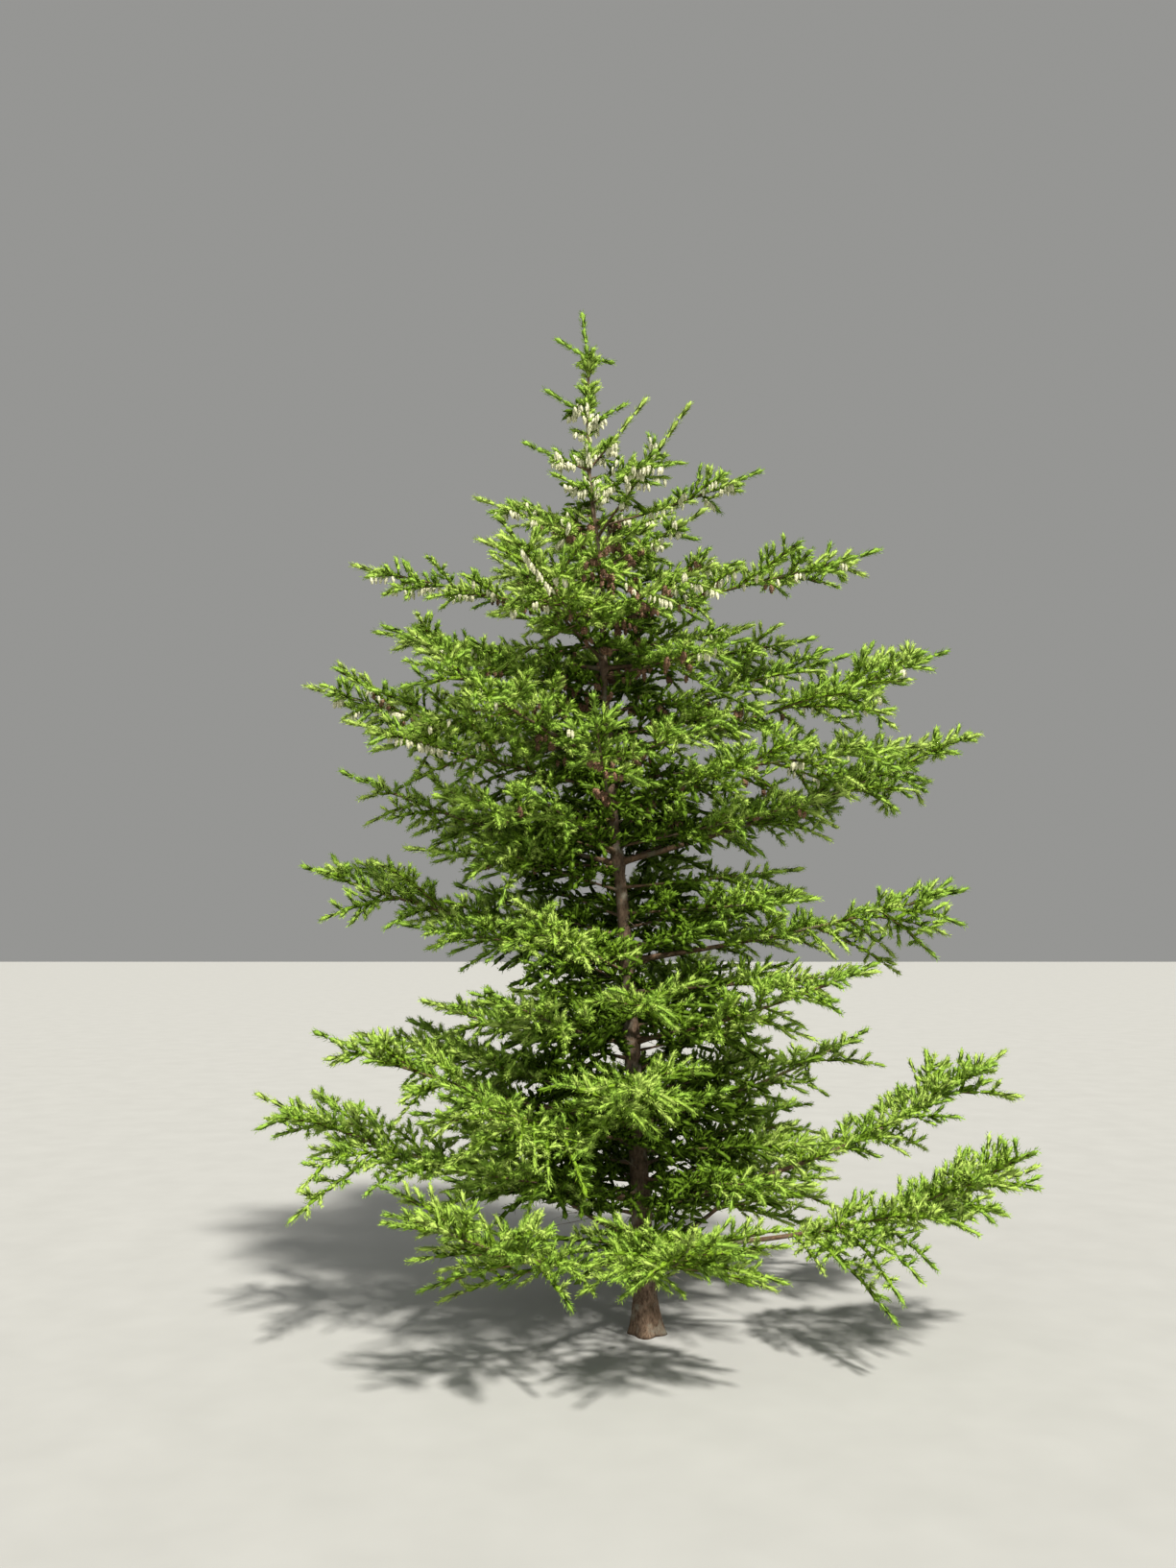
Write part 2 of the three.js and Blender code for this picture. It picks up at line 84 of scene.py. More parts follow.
# Whorls from the ground up: height, how much of the rise is left to a bough's outer end, and the
# boughs, each as compass angle, reach, rise and the share of its length that is bare limb.
WHORLS = [
    (0.33, 0.8, [
        (10, 1.21, 0.38, 0.3),
        (74, 1.57, 0.38, 0.32),
        (146, 1.5, 0.35, 0.34),
        (214, 1.5, 0.35, 0.34),
        (329, 1.4, 0.4, 0.3),
    ]),
    (0.54, 0.7, [
        (95, 1.65, 0.6, 0.32),
        (180, 1.46, 0.42, 0),
        (273, 1.59, 0.44, 0.3),
    ]),
    (0.85, 0.5, [
        (118, 1.26, 0.35, 0),
        (238, 1.23, 0.34, 0),
        (291, 1.33, 0.4, 0),
        (352, 0.95, 0.2, 0),
    ]),
    (1.18, 0.4, [
        (55, 1.09, 0.34, 0),
        (164, 1.31, 0.35, 0),
        (316, 0.9, 0.26, 0),
    ]),
    (1.52, 0.35, [
        (83, 1.41, 0.3, 0.2),
        (137, 1.24, 0.3, 0),
        (204, 1.26, 0.34, 0),
        (268, 1.37, 0.37, 0.2),
    ]),
    (1.93, 0.3, [
        (95, 1.62, 0.6, 0.2),
        (170, 1.24, 0.37, 0),
        (274, 1.18, 0.38, 0),
        (333, 0.7, 0.23, 0),
    ]),
    (2.11, 0.1, [(352, 0.83, 0.4, 0)]),
    (2.36, 0.3, [
        (37, 0.64, 0.11, 0),
        (90, 1.46, 0.43, 0.18),
        (190, 1.19, 0.37, 0),
        (275, 1.32, 0.31, 0),
        (318, 1.23, 0.34, 0),
    ]),
    (2.77, 0.25, [
        (92, 0.93, 0.13, 0),
        (176, 0.99, 0.34, 0),
        (264, 1.03, 0.19, 0),
        (326, 0.71, 0.35, 0),
    ]),
    (3.01, 0.2, [
        (80, 1.2, 0.23, 0),
        (196, 0.86, 0.3, 0),
        (276, 1.11, 0.24, 0),
    ]),
    (3.18, 0.1, [(268, 0.5, 0.17, 0)]),
    (3.36, 0.2, [
        (40, 0.54, 0.47, 0),
        (88, 0.74, 0.24, 0),
        (155, 0.62, 0.3, 0),
        (218, 0.6, 0.3, 0),
        (283, 0.56, 0.13, 0),
    ]),
    (3.68, 0.1, [
        (74, 0.27, 0.31, 0),
        (172, 0.32, 0.22, 0),
        (272, 0.3, 0.13, 0),
    ]),
    (3.88, 0.1, [
        (108, 0.2, 0.13, 0),
        (298, 0.23, 0.07, 0),
    ]),
]
WHORL_STAGGER = 0.044
STAGGER_SPREAD = 0.25
SWAY_DEGREES = 7
# A whorl reaches furthest out at this share of its boughs' rise.
WIDEST_AT = 0.6

# A limb's radius at the trunk grows with its reach, up to a share of the trunk's own radius there.
# It falls to its tip's by this power of the share of the reach.
LIMB_BASE_RADIUS = 0.005
LIMB_RADIUS_PER_REACH = 0.0062
LIMB_SHARE_OF_TRUNK = 0.6
LIMB_TIP_RADIUS = 0.0022
LIMB_TAPER_POWER = 0.8

# A plume's side sprays, by the rule of the solids: their spacing, lengths, sweeps, tilts and rolls.
LEAST_PAIRS = 2
PAIR_STEP = 0.235
FIRST_SPRAY = 0.9
SPRAY_SHARE = 0.4
SHORTEST_SPRAY = 0.095
SWELL_START = 0.25
INNER_SWEEP = 62
OUTER_SWEEP = 34
SWEEP_SPREAD = 6
LENGTH_SPREAD = 0.14
MOST_TILT = 26
MOST_ROLL = 52
DROOP_SHARE = 0.16
LINE_SAMPLES = np.array([0.15, 0.3, 0.45, 0.6, 0.75, 0.9, 1])
SHORTER_TRIES = (1, 0.72, 0.5)
SPRAY_RADIUS = {"per_length": 0.009, "least": 0.0012, "most": 0.0036}

# Each quantity reads its own series of jitter. All but the last are as in the solids.
SWAY_SERIES = 1
LENGTH_SERIES = 2
SWEEP_SERIES = 3
TILT_SERIES = 4
HEIGHT_SERIES = 5
ROLL_SERIES = 6
SHADE_SERIES = 8

# Each spray of the solids becomes this many, with the finer ones between. The lowest boughs, up to
# the first height, are the fullest; the crown is more open above the other.
FINER = 3
FINER_LOW_DOWN = 4
FINER_ON_TOP = 2
FULL_UP_TO = 0.7
OPEN_FROM = 2.95
# The finer ones' lengths as a share of the other's, and how much further they tilt, from hanging
# ones to raised ones.
FINER_SHARE = (0.5, 1.0)
FINER_TILTS = (-1.9, 1.2)
# None grow near the end of a bough, so that its fingers stand apart there: for this long a stretch,
# or this share of a short bough.
END_STRETCH = 0.32
END_SHARE = 0.3
# Further out along a bough they also stand off it more widely, by up to twice this many degrees.
FINER_SWEEP = 14
# Those of boughs below this height hang less, down to a share, as they are near the ground.
HANGING_FROM = 0.9
LEAST_HANGING = 0.2
# A spray's line is this much shorter than its solid, which leaves room for its needles.
INSIDE_SHARE = 0.97

# Weak boughs between the whorls: how many, their heights, their reach as a share of the crown's
# there, and their rise as a share of their reach. They are closer together lower down.
WEAK_BOUGHS = 96
WEAK_LOWEST = 0.4
WEAK_HIGHEST = 3.62
WEAK_REACH = (0.36, 0.84)
WEAK_RISE = (0.05, 0.4)
WEAK_UPTURN = 0.2
WEAK_TURN_SPREAD = 25
WEAK_CROWDING = 1.1
WEAK_SLIMNESS = 0.6
# The trunk shows between these heights: what is weak and would grow this near the viewer's side of
# it is turned away, by so many times as much.
TRUNK_SHOWS = [(1.02, 1.26), (1.52, 2.25), (2.42, 2.74), (3.2, 3.42)]
CLEAR_DEGREES = 34
CLEAR_TIMES = 1.6

# This year's growth at the end of a bough, a spray, a side shoot and a small shoot, which may be
# new all along. It is bare of side shoots.
NEW_ON_BOUGH = 0.19
NEW_ON_SPRAY = 0.1
NEW_ON_SHOOT = 0.062
LONGEST_NEW = 1.0

# Higher up, where light comes through the crown, a place counts as further out by up to this much,
# so fewer of its needles there take the painted shade of the inner crown.
OPEN_GAIN = 0.13
OPEN_GAIN_FROM = 1.5
OPEN_GAIN_OVER = 1.2
# At the crown's edge, from this exposure on, shoots turn into longer and stouter fingers, and up to
# this share of the small ones between them is left out.
EDGE_FROM = 0.7
EDGE_OVER = 0.18
EDGE_GIRTH = 0.3
EDGE_LENGTH = 0.5
EDGE_OPENNESS = 0.8

# Side shoots of a spray, the smaller ones of those, and the small ones along a bough itself: from
# which share of the parent on and how far from its tip they grow, how far apart, and how many more
# stand in the fan; degrees off the parent and out of its flat; the share that stands upright; and
# their lengths, which grow with the distance behind the fan.
SHOOT_RULE = {
    "foot": 0.1, "bare_tip": NEW_ON_SPRAY, "pitch": 0.037, "fan": 2, "sweep": 50,
    "lift": 6, "lift_spread": 24, "upright": 0.14,
    "shortest": 0.05, "growth": 0.28, "longest": 0.125,
}
SMALL_SHOOT_RULE = {
    "foot": 0.22, "bare_tip": NEW_ON_SHOOT, "pitch": 0.068, "fan": 1, "sweep": 46,
    "lift": 5, "lift_spread": 28, "upright": 0.1,
    "shortest": 0.04, "growth": 0.2, "longest": 0.06,
}
LIMB_SHOOT_RULE = {
    "foot": 0.0, "bare_tip": 0.0, "pitch": 0.042, "fan": 0, "sweep": 58,
    "lift": 34, "lift_spread": 40, "upright": 0.2,
    "shortest": 0.062, "growth": 0.0, "longest": 0.062,
}
# How unevenly they stand along their parent and off it, how much further an upright one lifts, and
# their lengths. They bend forwards by a share of their length, and turn up to the light.
SPACING_SPREAD = 0.3
SHOOT_SWEEP_SPREAD = 6
UPRIGHT_LIFT = 70
SHOOT_LENGTHS = (0.72, 1.12)
SHOOT_BEND = 0.12
SHOOT_RADIUS = {"per_length": 0.016, "least": 0.0008, "most": 0.0016}
UPTURN = 0.3

# Boughs are clothed from this share of their reach outwards, and this far past their bare part, in
# stretches of this length.
CLOTHED_FROM = 0.3
CLOTHED_PAST_BARE = 0.1
SHORTEST_CLOTHED = 0.05
CLOTHED_STEP = 0.12

# Shoots round the foot of the leader: compass angle, reach, rise.
LEADER_SHOOTS = [
    (276, 0.152, 0.088),
    (84, 0.124, -0.026),
    (222, 0.086, -0.008),
    (150, 0.118, 0.03),
    (20, 0.096, 0.01),
]
LEADER_RADIUS = 0.0028
# Its upper side is this far off upright, as it stands upright itself.
OFF_UPRIGHT = 0.01

# Weak shoots on the trunk itself, with more of them up to just below the top whorl. From one height
# on they get steeper and shorter.
TRUNK_SHOOTS = 84
LOWEST_TRUNK_SHOOT = 0.45
TOP_SHOOTS = 38
TOP_SHOOTS_FROM = 3.5
TOP_SHOOTS_BELOW = 0.02
TRUNK_SHOOT_TURN_SPREAD = 20
TRUNK_SHOOT_RISE = (10, 45)
TRUNK_SHOOT_LENGTH = (0.12, 0.26)
TRUNK_SHOOT_SAG = 0.05
TRUNK_SHOOT_RADIUS = 0.002
TRUNK_SHOOT_EXPOSURE = 0.25
STEEPER_FROM = 2.6
STEEPER_OVER = 1.4
STEEPER_BY = 14
SHORTER_BY = 0.68

# jitter reads a steep wave at uneven steps, so that no two neighbours are alike.
JITTER_STEPS = (12.9898, 78.233, 37.719)
JITTER_STEEPNESS = 43758.5453

dice = np.random.default_rng(SEED)


def jitter(a, b=0, c=0):
    """A repeatable number from -1 to 1 for up to three whole numbers, as the solids use it."""
    place = a * JITTER_STEPS[0] + b * JITTER_STEPS[1] + c * JITTER_STEPS[2]
    wave = np.sin(place) * JITTER_STEEPNESS
    return 2 * (wave - np.floor(wave)) - 1


def unit(vectors):
    """The vectors, each made one long."""
    return vectors / np.linalg.norm(vectors, axis=-1, keepdims=True)


def column(values):
    """A row of numbers as a column, to multiply vectors by."""
    return np.asarray(values)[..., None]


def turned(one, other, angle):
    """The direction at an angle from one direction towards another that is square to it."""
    return one * column(np.cos(angle)) + other * column(np.sin(angle))


def compass(degrees):
    """The level direction of a compass angle."""
    turn = np.radians(degrees)
    return np.stack([np.sin(turn), -np.cos(turn), np.zeros_like(turn)], axis=-1)


def climb(value, start, over, least=0):
    """A share that climbs to 1 over a stretch of values, and is never under the least."""
    return np.clip((value - start) / over, least, 1)


def shared_out(count):
    """For things of which each owner bears a count: the owner's row, and the number among its own."""
    owner = np.repeat(np.arange(len(count)), count)
    return owner, np.arange(len(owner)) - np.repeat(np.cumsum(count) - count, count)


# Trunk and boughs: their lines and radii, as in the solids.

def trunk_at(height):
    """The trunk's middle at heights: a cubic from point to point of its line."""
    height = np.asarray(height, float)
    last = len(TRUNK_LINE) - 1
    i = np.clip(np.searchsorted(TRUNK_LINE[:, 0], height, side="right") - 1, 0, last - 1)

    def point(j):
        return TRUNK_LINE[np.clip(j, 0, last)]

    def slope(j):
        rise = point(j + 1) - point(j - 1)
        return rise / rise[..., :1]

    span = point(i + 1)[..., :1] - point(i)[..., :1]
    t = (height[..., None] - point(i)[..., :1]) / span
    line = (
        (2 * t**3 - 3 * t**2 + 1) * point(i)
        + (t**3 - 2 * t**2 + t) * span * slope(i)
        + (3 * t**2 - 2 * t**3) * point(i + 1)
        + (t**3 - t**2) * span * slope(i + 1)
    )
    return np.stack([line[..., 1], line[..., 2], height], axis=-1)


def trunk_radius(height, angle=0.0):
    """The trunk's radius at a height, in a direction round it."""
    share = np.maximum(0, 1 - height / TRUNK_HEIGHT)
    plain = TOP_RADIUS + (FOOT_RADIUS - TOP_RADIUS) * share**TAPER_POWER
    fade = np.exp(-height / FLARE_FADE)
    buttress = 1 + BUTTRESS_SHARE * fade * np.cos(BUTTRESSES * angle + BUTTRESS_TURN)
    return plain * (1 + FLARE_SHARE * fade) * buttress


class Bough:
    """One bough: where its foot is, how it runs, and points on its line for measuring. How much light
    a weak one gets isn't measured by its own reach, as it ends inside the crown."""

    def __init__(self, index, foot, upturn, row, finer, slimness=1.0):
        self.index = index
        self.foot = foot
        self.upturn = upturn
        self.angle, self.reach, self.rise, self.bare = row
        self.finer = finer
        self.slimness = slimness
        self.lit_reach = self.reach if slimness == 1.0 else math.inf
        self.line = self.point(LINE_SAMPLES)

    def point(self, share):
        """Places on the bough's middle line, at shares of its reach."""
        share = np.asarray(share, float)
        out = compass(self.angle + SWAY_DEGREES * jitter(self.index, SWAY_SERIES) * share)
        lift = self.rise * ((1 - self.upturn) * share + self.upturn * share**2)
        return self.foot + out * column(self.reach * share) + UP * column(lift)

    def frame(self, share):
        """The bough's own directions there: along it, sideways and its upper side."""
        nearby = 0.01
        along = unit(self.point(share + nearby) - self.point(share - nearby))
        side = unit(np.cross(along, UP))
        return along, side, np.cross(side, along)

    def radius(self, share):
        """The bough's radius at shares of its reach."""
        most = LIMB_SHARE_OF_TRUNK * trunk_radius(self.foot[2])
        base = min(most, LIMB_BASE_RADIUS + LIMB_RADIUS_PER_REACH * self.reach) * self.slimness
        return base + (min(base, LIMB_TIP_RADIUS) - base) * share**LIMB_TAPER_POWER


def make_boughs():
    """Every bough of the whorls, in the order of the solids."""
    boughs = []
    for level, upturn, rows in WHORLS:
        for i, row in enumerate(rows):
            index = len(boughs)
            uneven = STAGGER_SPREAD * jitter(index, HEIGHT_SERIES)
            height = level + WHORL_STAGGER * (i % 2 - 0.5 + uneven)
            finer = FINER_ON_TOP if height > OPEN_FROM else FINER
            if height < FULL_UP_TO:
                finer = FINER_LOW_DOWN
            boughs.append(Bough(index, trunk_at(height), upturn, row, finer))
    return boughs


def crown_reach(height):
    """How far the crown reaches from the trunk at a height: as its whorls' longest boughs do."""
    levels = [level + WIDEST_AT * max(row[2] for row in rows) for level, _, rows in WHORLS]
    reaches = [max(row[1] for row in rows) for _, _, rows in WHORLS]
    order = np.argsort(levels)
    return np.interp(height, np.array(levels)[order], np.array(reaches)[order])


def turned_clear(angle, height):
    """The compass angle, turned away from the viewer's side where the trunk shows."""
    off = (angle + 180) % 360 - 180
    shows = np.any([(height > low) & (height < high) for low, high in TRUNK_SHOWS], axis=0)
    in_front = shows & (np.abs(off) < CLEAR_DEGREES)
    return np.where(in_front, off + np.copysign(CLEAR_TIMES * CLEAR_DEGREES, off), off)


def make_weak_boughs(first):
    """Short, slim boughs that fill the crown between the whorls, turned round the trunk in a spiral."""
    boughs = []
    for i in range(WEAK_BOUGHS):
        step = ((i + dice.uniform(0, 1)) / WEAK_BOUGHS) ** WEAK_CROWDING
        height = WEAK_LOWEST + (WEAK_HIGHEST - WEAK_LOWEST) * step
        angle = math.degrees(GOLDEN_ANGLE) * i + dice.uniform(-WEAK_TURN_SPREAD, WEAK_TURN_SPREAD)
        reach = float(dice.uniform(*WEAK_REACH) * crown_reach(height))
        rise = dice.uniform(*WEAK_RISE) * reach
        row = (turned_clear(angle, height), reach, rise, 0)
        boughs.append(Bough(first + i, trunk_at(height), WEAK_UPTURN, row, FINER, WEAK_SLIMNESS))
    return boughs


# Shoots: many at once, as arrays with one row each.

FIELDS = ("root", "along", "top", "length", "bend", "radius", "exposure")


class Shoots:
    """Shoots that start at their roots and bend evenly to their tips. top is the upper side of the
    flat spray that each bears, and exposure runs from 0 at the trunk to 1 at the crown's edge."""

    def __init__(self, root, along, top, length, bend, radius, exposure):
        self.root = root
        self.along = along
        self.top = unit(top - along * column(np.sum(top * along, axis=1)))
        self.length = length
        self.bend = bend
        self.radius = radius
        self.exposure = exposure

    def __len__(self):
        return len(self.length)

    def pick(self, rows):
        """Only these shoots."""
        return Shoots(*(getattr(self, field)[rows] for field in FIELDS))

    def point(self, share, rows):
        """Places on shoots, at shares of their length."""
        straight = self.along[rows] * column(self.length[rows] * share)
        return self.root[rows] + straight + self.bend[rows] * column(share**2)

    def axis(self, share, rows):
        """The direction of shoots there."""
        straight = self.along[rows] * column(self.length[rows])
        return unit(straight + 2 * self.bend[rows] * column(share))

    def frame(self, share, rows):
        """The shoots' own directions there: along them, sideways and their upper side."""
        along = self.axis(share, rows)
        side = unit(np.cross(along, self.top[rows]))
        return along, side, np.cross(side, along)


def joined(groups):
    """Several groups of shoots as one."""
    return Shoots(*(np.concatenate([getattr(g, field) for g in groups]) for field in FIELDS))


def wood_radius(length, rule):
    """The radius at the foot of shoots of these lengths."""
    return np.clip(rule["per_length"] * length, rule["least"], rule["most"])


def exposure_of(places, lit_reach=math.inf):
    """How much light places get: 0 at the trunk low down, 1 as far out as the crown reaches. On a
    shorter bough, 1 is half-way from its own reach to the crown's."""
    height = places[:, 2]
    away = np.linalg.norm((places - trunk_at(height))[:, :2], axis=1)
    full = np.minimum(crown_reach(height), (crown_reach(height) + lit_reach) / 2)
    open_crown = OPEN_GAIN * climb(height, OPEN_GAIN_FROM, OPEN_GAIN_OVER)
    return np.clip(away / full + open_crown, 0, 1)


def edge_share(exposure):
    """How far into the crown's edge places are: 0 inside it, 1 where it ends."""
    return climb(exposure, EDGE_FROM, EDGE_OVER)


def in_own_space(tips, bough, boughs):
    """Which tips are nearer to their own bough's line than to any other bough's."""
    def nearest(other):
        gaps = np.linalg.norm(tips[:, None, :] - other.line[None, :, :], axis=2)
        return gaps.min(axis=1)

    own = nearest(bough)
    free = np.ones(len(tips), bool)
    for other in boughs:
        if other is not bough:
            free &= nearest(other) > own
    return free


def fitted(roots, ways, length, bough, boughs):
    """Lengths of sprays, made shorter where they would leave their bough's space, and which fit."""
    kept = np.zeros(len(length), bool)
    for trim in SHORTER_TRIES:
        fits = in_own_space(roots + ways * column(length * trim), bough, boughs)
        length = np.where(fits & ~kept, length * trim, length)
        kept |= fits
    return length, kept


def sprays_on(bough, boughs):
    """The side sprays of one bough: those of its solid, with finer ones between."""
    pairs = max(LEAST_PAIRS, round(bough.reach * (1 - bough.bare) / PAIR_STEP))
    number = np.arange(2 * pairs * bough.finer)
    k = number // bough.finer
    fine = number % bough.finer
    out = (number / bough.finer + FIRST_SPRAY) / (2 * pairs + 1)

    def dealt(series, low=-1, high=1):
        """The solids' own jitter for their sprays, and a random number for the finer ones."""
        return np.where(fine == 0, jitter(bough.index, k, series), dice.uniform(low, high, len(k)))

    swell = np.sin(math.pi * (SWELL_START + (1 - SWELL_START) * out))
    length = np.maximum(SHORTEST_SPRAY, SPRAY_SHARE * bough.reach * swell)
    length = length * (1 + LENGTH_SPREAD * jitter(bough.index, k, LENGTH_SERIES))
    length = length * np.where(fine == 0, 1, dice.uniform(*FINER_SHARE, len(k)))
    share = np.minimum(bough.bare + (1 - bough.bare) * out, 1 - NEW_ON_BOUGH / bough.reach)
    along, side, top = bough.frame(share)
    hand = np.where(k % 2, 1.0, -1.0) * np.where(fine % 2, -1.0, 1.0)
    spread = dealt(SWEEP_SERIES)
    wider = np.where(fine == 0, 0, FINER_SWEEP * (1 + spread))
    sweep = INNER_SWEEP + (OUTER_SWEEP - INNER_SWEEP) * out + SWEEP_SPREAD * spread
    sweep = np.radians(sweep + wider * out)
    lowest = FINER_TILTS[0] * np.clip(bough.foot[2] / HANGING_FROM, LEAST_HANGING, 1)
    tilt = np.radians(MOST_TILT * dealt(TILT_SERIES, lowest, FINER_TILTS[1]))
    roll = np.radians(MOST_ROLL * dealt(ROLL_SERIES))
    direction = unit(turned(along, side * column(hand), sweep) + top * column(np.sin(tilt)))
    root = bough.point(share)
    drooped = direction - UP * DROOP_SHARE
    length, kept = fitted(root, unit(drooped), length, bough, boughs)
    at_end = share > 1 - min(END_STRETCH / bough.reach, END_SHARE)
    kept &= (fine == 0) | ~at_end
    length = length * INSIDE_SHARE / np.linalg.norm(drooped, axis=1)
    across = np.cross(direction, top)
    flat = turned(top, across, roll)
    bend = -UP * column(DROOP_SHARE * length)
    exposure = exposure_of(root, bough.lit_reach)
    radius = wood_radius(length, SPRAY_RADIUS)
    return Shoots(root, direction, flat, length, bend, radius, exposure).pick(kept)


def side_shoots(parents, rule):
    """Side shoots on every parent, left and right in turn, with some upright. Those at the foot of
    the parent's new growth are a fan of short ones, and each further back is longer."""
    first = rule["foot"]
    last = 1 - rule["bare_tip"] / parents.length
    room = (last - first) * parents.length
    count = np.where(room > 0, rule["fan"] + np.floor(np.maximum(0, room) / rule["pitch"]), 0)
    owner, number = shared_out(count.astype(int))
    many = len(owner)
    uneven = dice.uniform(-SPACING_SPREAD, SPACING_SPREAD, many)
    share = first + (last[owner] - first) * (number + 0.5 + uneven) / count[owner]
    hand = np.where(number % 2, 1.0, -1.0)
    along = parents.axis(share, owner)
    top = parents.top[owner]
    side = unit(np.cross(along, top))
    sweep = np.radians(dice.normal(rule["sweep"], SHOOT_SWEEP_SPREAD, many))
    upright = dice.uniform(0, 1, many) < rule["upright"]
    tilt = np.radians(dice.normal(rule["lift"], rule["lift_spread"], many) + UPRIGHT_LIFT * upright)
    out = turned(side * column(hand), top, tilt)
    direction = unit(turned(along, out, sweep) + UP * UPTURN)
    behind = (last[owner] - share) * parents.length[owner]
    length = np.minimum(rule["shortest"] + rule["growth"] * behind, rule["longest"])
    root = parents.point(share, owner)
    exposure = np.maximum(exposure_of(root), parents.exposure[owner])
    length = length * dice.uniform(*SHOOT_LENGTHS, many) * (1 + EDGE_LENGTH * edge_share(exposure))
    bend = along * column(SHOOT_BEND * length)
    radius = wood_radius(length, SHOOT_RADIUS)
    return Shoots(root, direction, top, length, bend, radius, exposure)


def straight(root, tip, top, radius, exposure):
    """Shoots that run straight from their roots to their tips."""
    run = tip - root
    length = np.linalg.norm(run, axis=1)
    return Shoots(root, unit(run), top, length, np.zeros_like(run), radius, exposure)


def bough_end(bough):
    """This year's growth at the end of a bough."""
    share = np.array([1 - NEW_ON_BOUGH / bough.reach])
    tip = bough.point([1])
    exposure = exposure_of(tip, bough.lit_reach)
    return straight(bough.point(share), tip, bough.frame(share)[2], np.array([LIMB_TIP_RADIUS]), exposure)


def stretches_of(bough):
    """The outer part of a bough, between its bare part and its new growth, in short stretches that
    bear old needles and small shoots of their own."""
    first = max(bough.bare + CLOTHED_PAST_BARE, CLOTHED_FROM)
    last = 1 - NEW_ON_BOUGH / bough.reach
    steps = max(1, round((last - first) * bough.reach / CLOTHED_STEP))
    share = np.linspace(first, max(last, first + SHORTEST_CLOTHED), steps + 1)
    place = bough.point(share)
    share = share[:-1]
    exposure = exposure_of(place[:-1], bough.lit_reach)
    return straight(place[:-1], place[1:], bough.frame(share)[2], bough.radius(share), exposure)


def leader_shoots():
    """The leader itself and the short shoots round its foot."""
    foot = trunk_at(TRUNK_HEIGHT)
    tips = [trunk_at(TREE_HEIGHT)]
    for angle, away, rise in LEADER_SHOOTS:
        tips.append(foot + compass(angle) * away + UP * rise)
    many = len(tips)
    top = np.tile(UP + OFF_UPRIGHT * compass(0.0), (many, 1))
    return straight(np.tile(foot, (many, 1)), np.array(tips), top, np.full(many, LEADER_RADIUS),
                    np.ones(many))


def trunk_shoots():
    """Weak shoots that leave the trunk between its whorls, the topmost steep and short."""
    low = dice.uniform(LOWEST_TRUNK_SHOOT, TRUNK_HEIGHT, TRUNK_SHOOTS)
    top = dice.uniform(TOP_SHOOTS_FROM, TRUNK_HEIGHT - TOP_SHOOTS_BELOW, TOP_SHOOTS)
    height = np.sort(np.concatenate([low, top]))
    many = len(height)
    uneven = dice.uniform(-TRUNK_SHOOT_TURN_SPREAD, TRUNK_SHOOT_TURN_SPREAD, many)
    angle = turned_clear(np.degrees(GOLDEN_ANGLE) * np.arange(many) + uneven, height)
    near_top = climb(height, STEEPER_FROM, STEEPER_OVER)
    rise = np.radians(dice.uniform(*TRUNK_SHOOT_RISE, many) + STEEPER_BY * near_top)
    direction = turned(compass(angle), UP, rise)
    length = dice.uniform(*TRUNK_SHOOT_LENGTH, many) * (1 - SHORTER_BY * near_top)
    bend = -UP * column(TRUNK_SHOOT_SAG * length)
    exposure = TRUNK_SHOOT_EXPOSURE + (1 - TRUNK_SHOOT_EXPOSURE) * near_top
    return Shoots(trunk_at(height), direction, np.tile(UP, (many, 1)), length, bend,
                  np.full(many, TRUNK_SHOOT_RADIUS), exposure)


# Meshes: points and triangles gathered in arrays, and made into one object a piece.

def placed(name, data):
    """A new object in the scene."""
    made = bpy.data.objects.new(name, data)
    bpy.context.scene.collection.objects.link(made)
    return made


def mesh_piece(name, form, finish, replaced=(), smooth=False):
    """One object of triangles, which rides on the tree's body."""
    points, faces = form
    corners = faces.shape[1]
    mesh = bpy.data.meshes.new(name)
    mesh.vertices.add(len(points))
    mesh.vertices.foreach_set("co", points.astype(np.float32).ravel())
    mesh.loops.add(faces.size)
    mesh.loops.foreach_set("vertex_index", faces.astype(np.int32).ravel())
    mesh.polygons.add(len(faces))
    mesh.polygons.foreach_set("loop_start", np.arange(0, faces.size, corners, dtype=np.int32))
    mesh.update(calc_edges=True)
    mesh.polygons.foreach_set("use_smooth", np.broadcast_to(smooth, len(faces)).copy())
    mesh.materials.append(finish)
    piece = placed(name, mesh)
    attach(piece, "root")
    if replaced:
        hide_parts(*replaced)


def stacked(forms):
    """Several (points, faces) as one."""
    points, faces, base = [], [], 0
    for some_points, some_faces in forms:
        points.append(some_points)
        faces.append(some_faces + base)
        base += len(some_points)
    return np.concatenate(points), np.concatenate(faces)


def for_each(points, faces):
    """One (points, faces) of many copies of a form, from a list with all places of each corner."""
    points = np.stack(points, axis=1)
    many, width = points.shape[:2]
    copies = faces[None, :, :] + (np.arange(many) * width)[:, None, None]
    return points.reshape(-1, 3), copies.reshape(-1, 3)


def tube_faces(rings, sides):
    """The triangles between rings of points."""
    ring, side = np.meshgrid(np.arange(rings - 1), np.arange(sides), indexing="ij")
    here = (ring * sides + side).ravel()
    ahead = (ring * sides + (side + 1) % sides).ravel()
    lower = np.stack([here, ahead, ahead + sides], axis=1)
    upper = np.stack([here, ahead + sides, here + sides], axis=1)
    return np.concatenate([lower, upper])


def pointed_tube_faces(rings, sides):
    """The same, with triangles from the last ring to the one point after it."""
    last = (rings - 1) * sides + np.arange(sides)
    end = np.stack([last, np.roll(last, -1), np.full(sides, rings * sides)], axis=1)
    return np.concatenate([tube_faces(rings, sides), end])


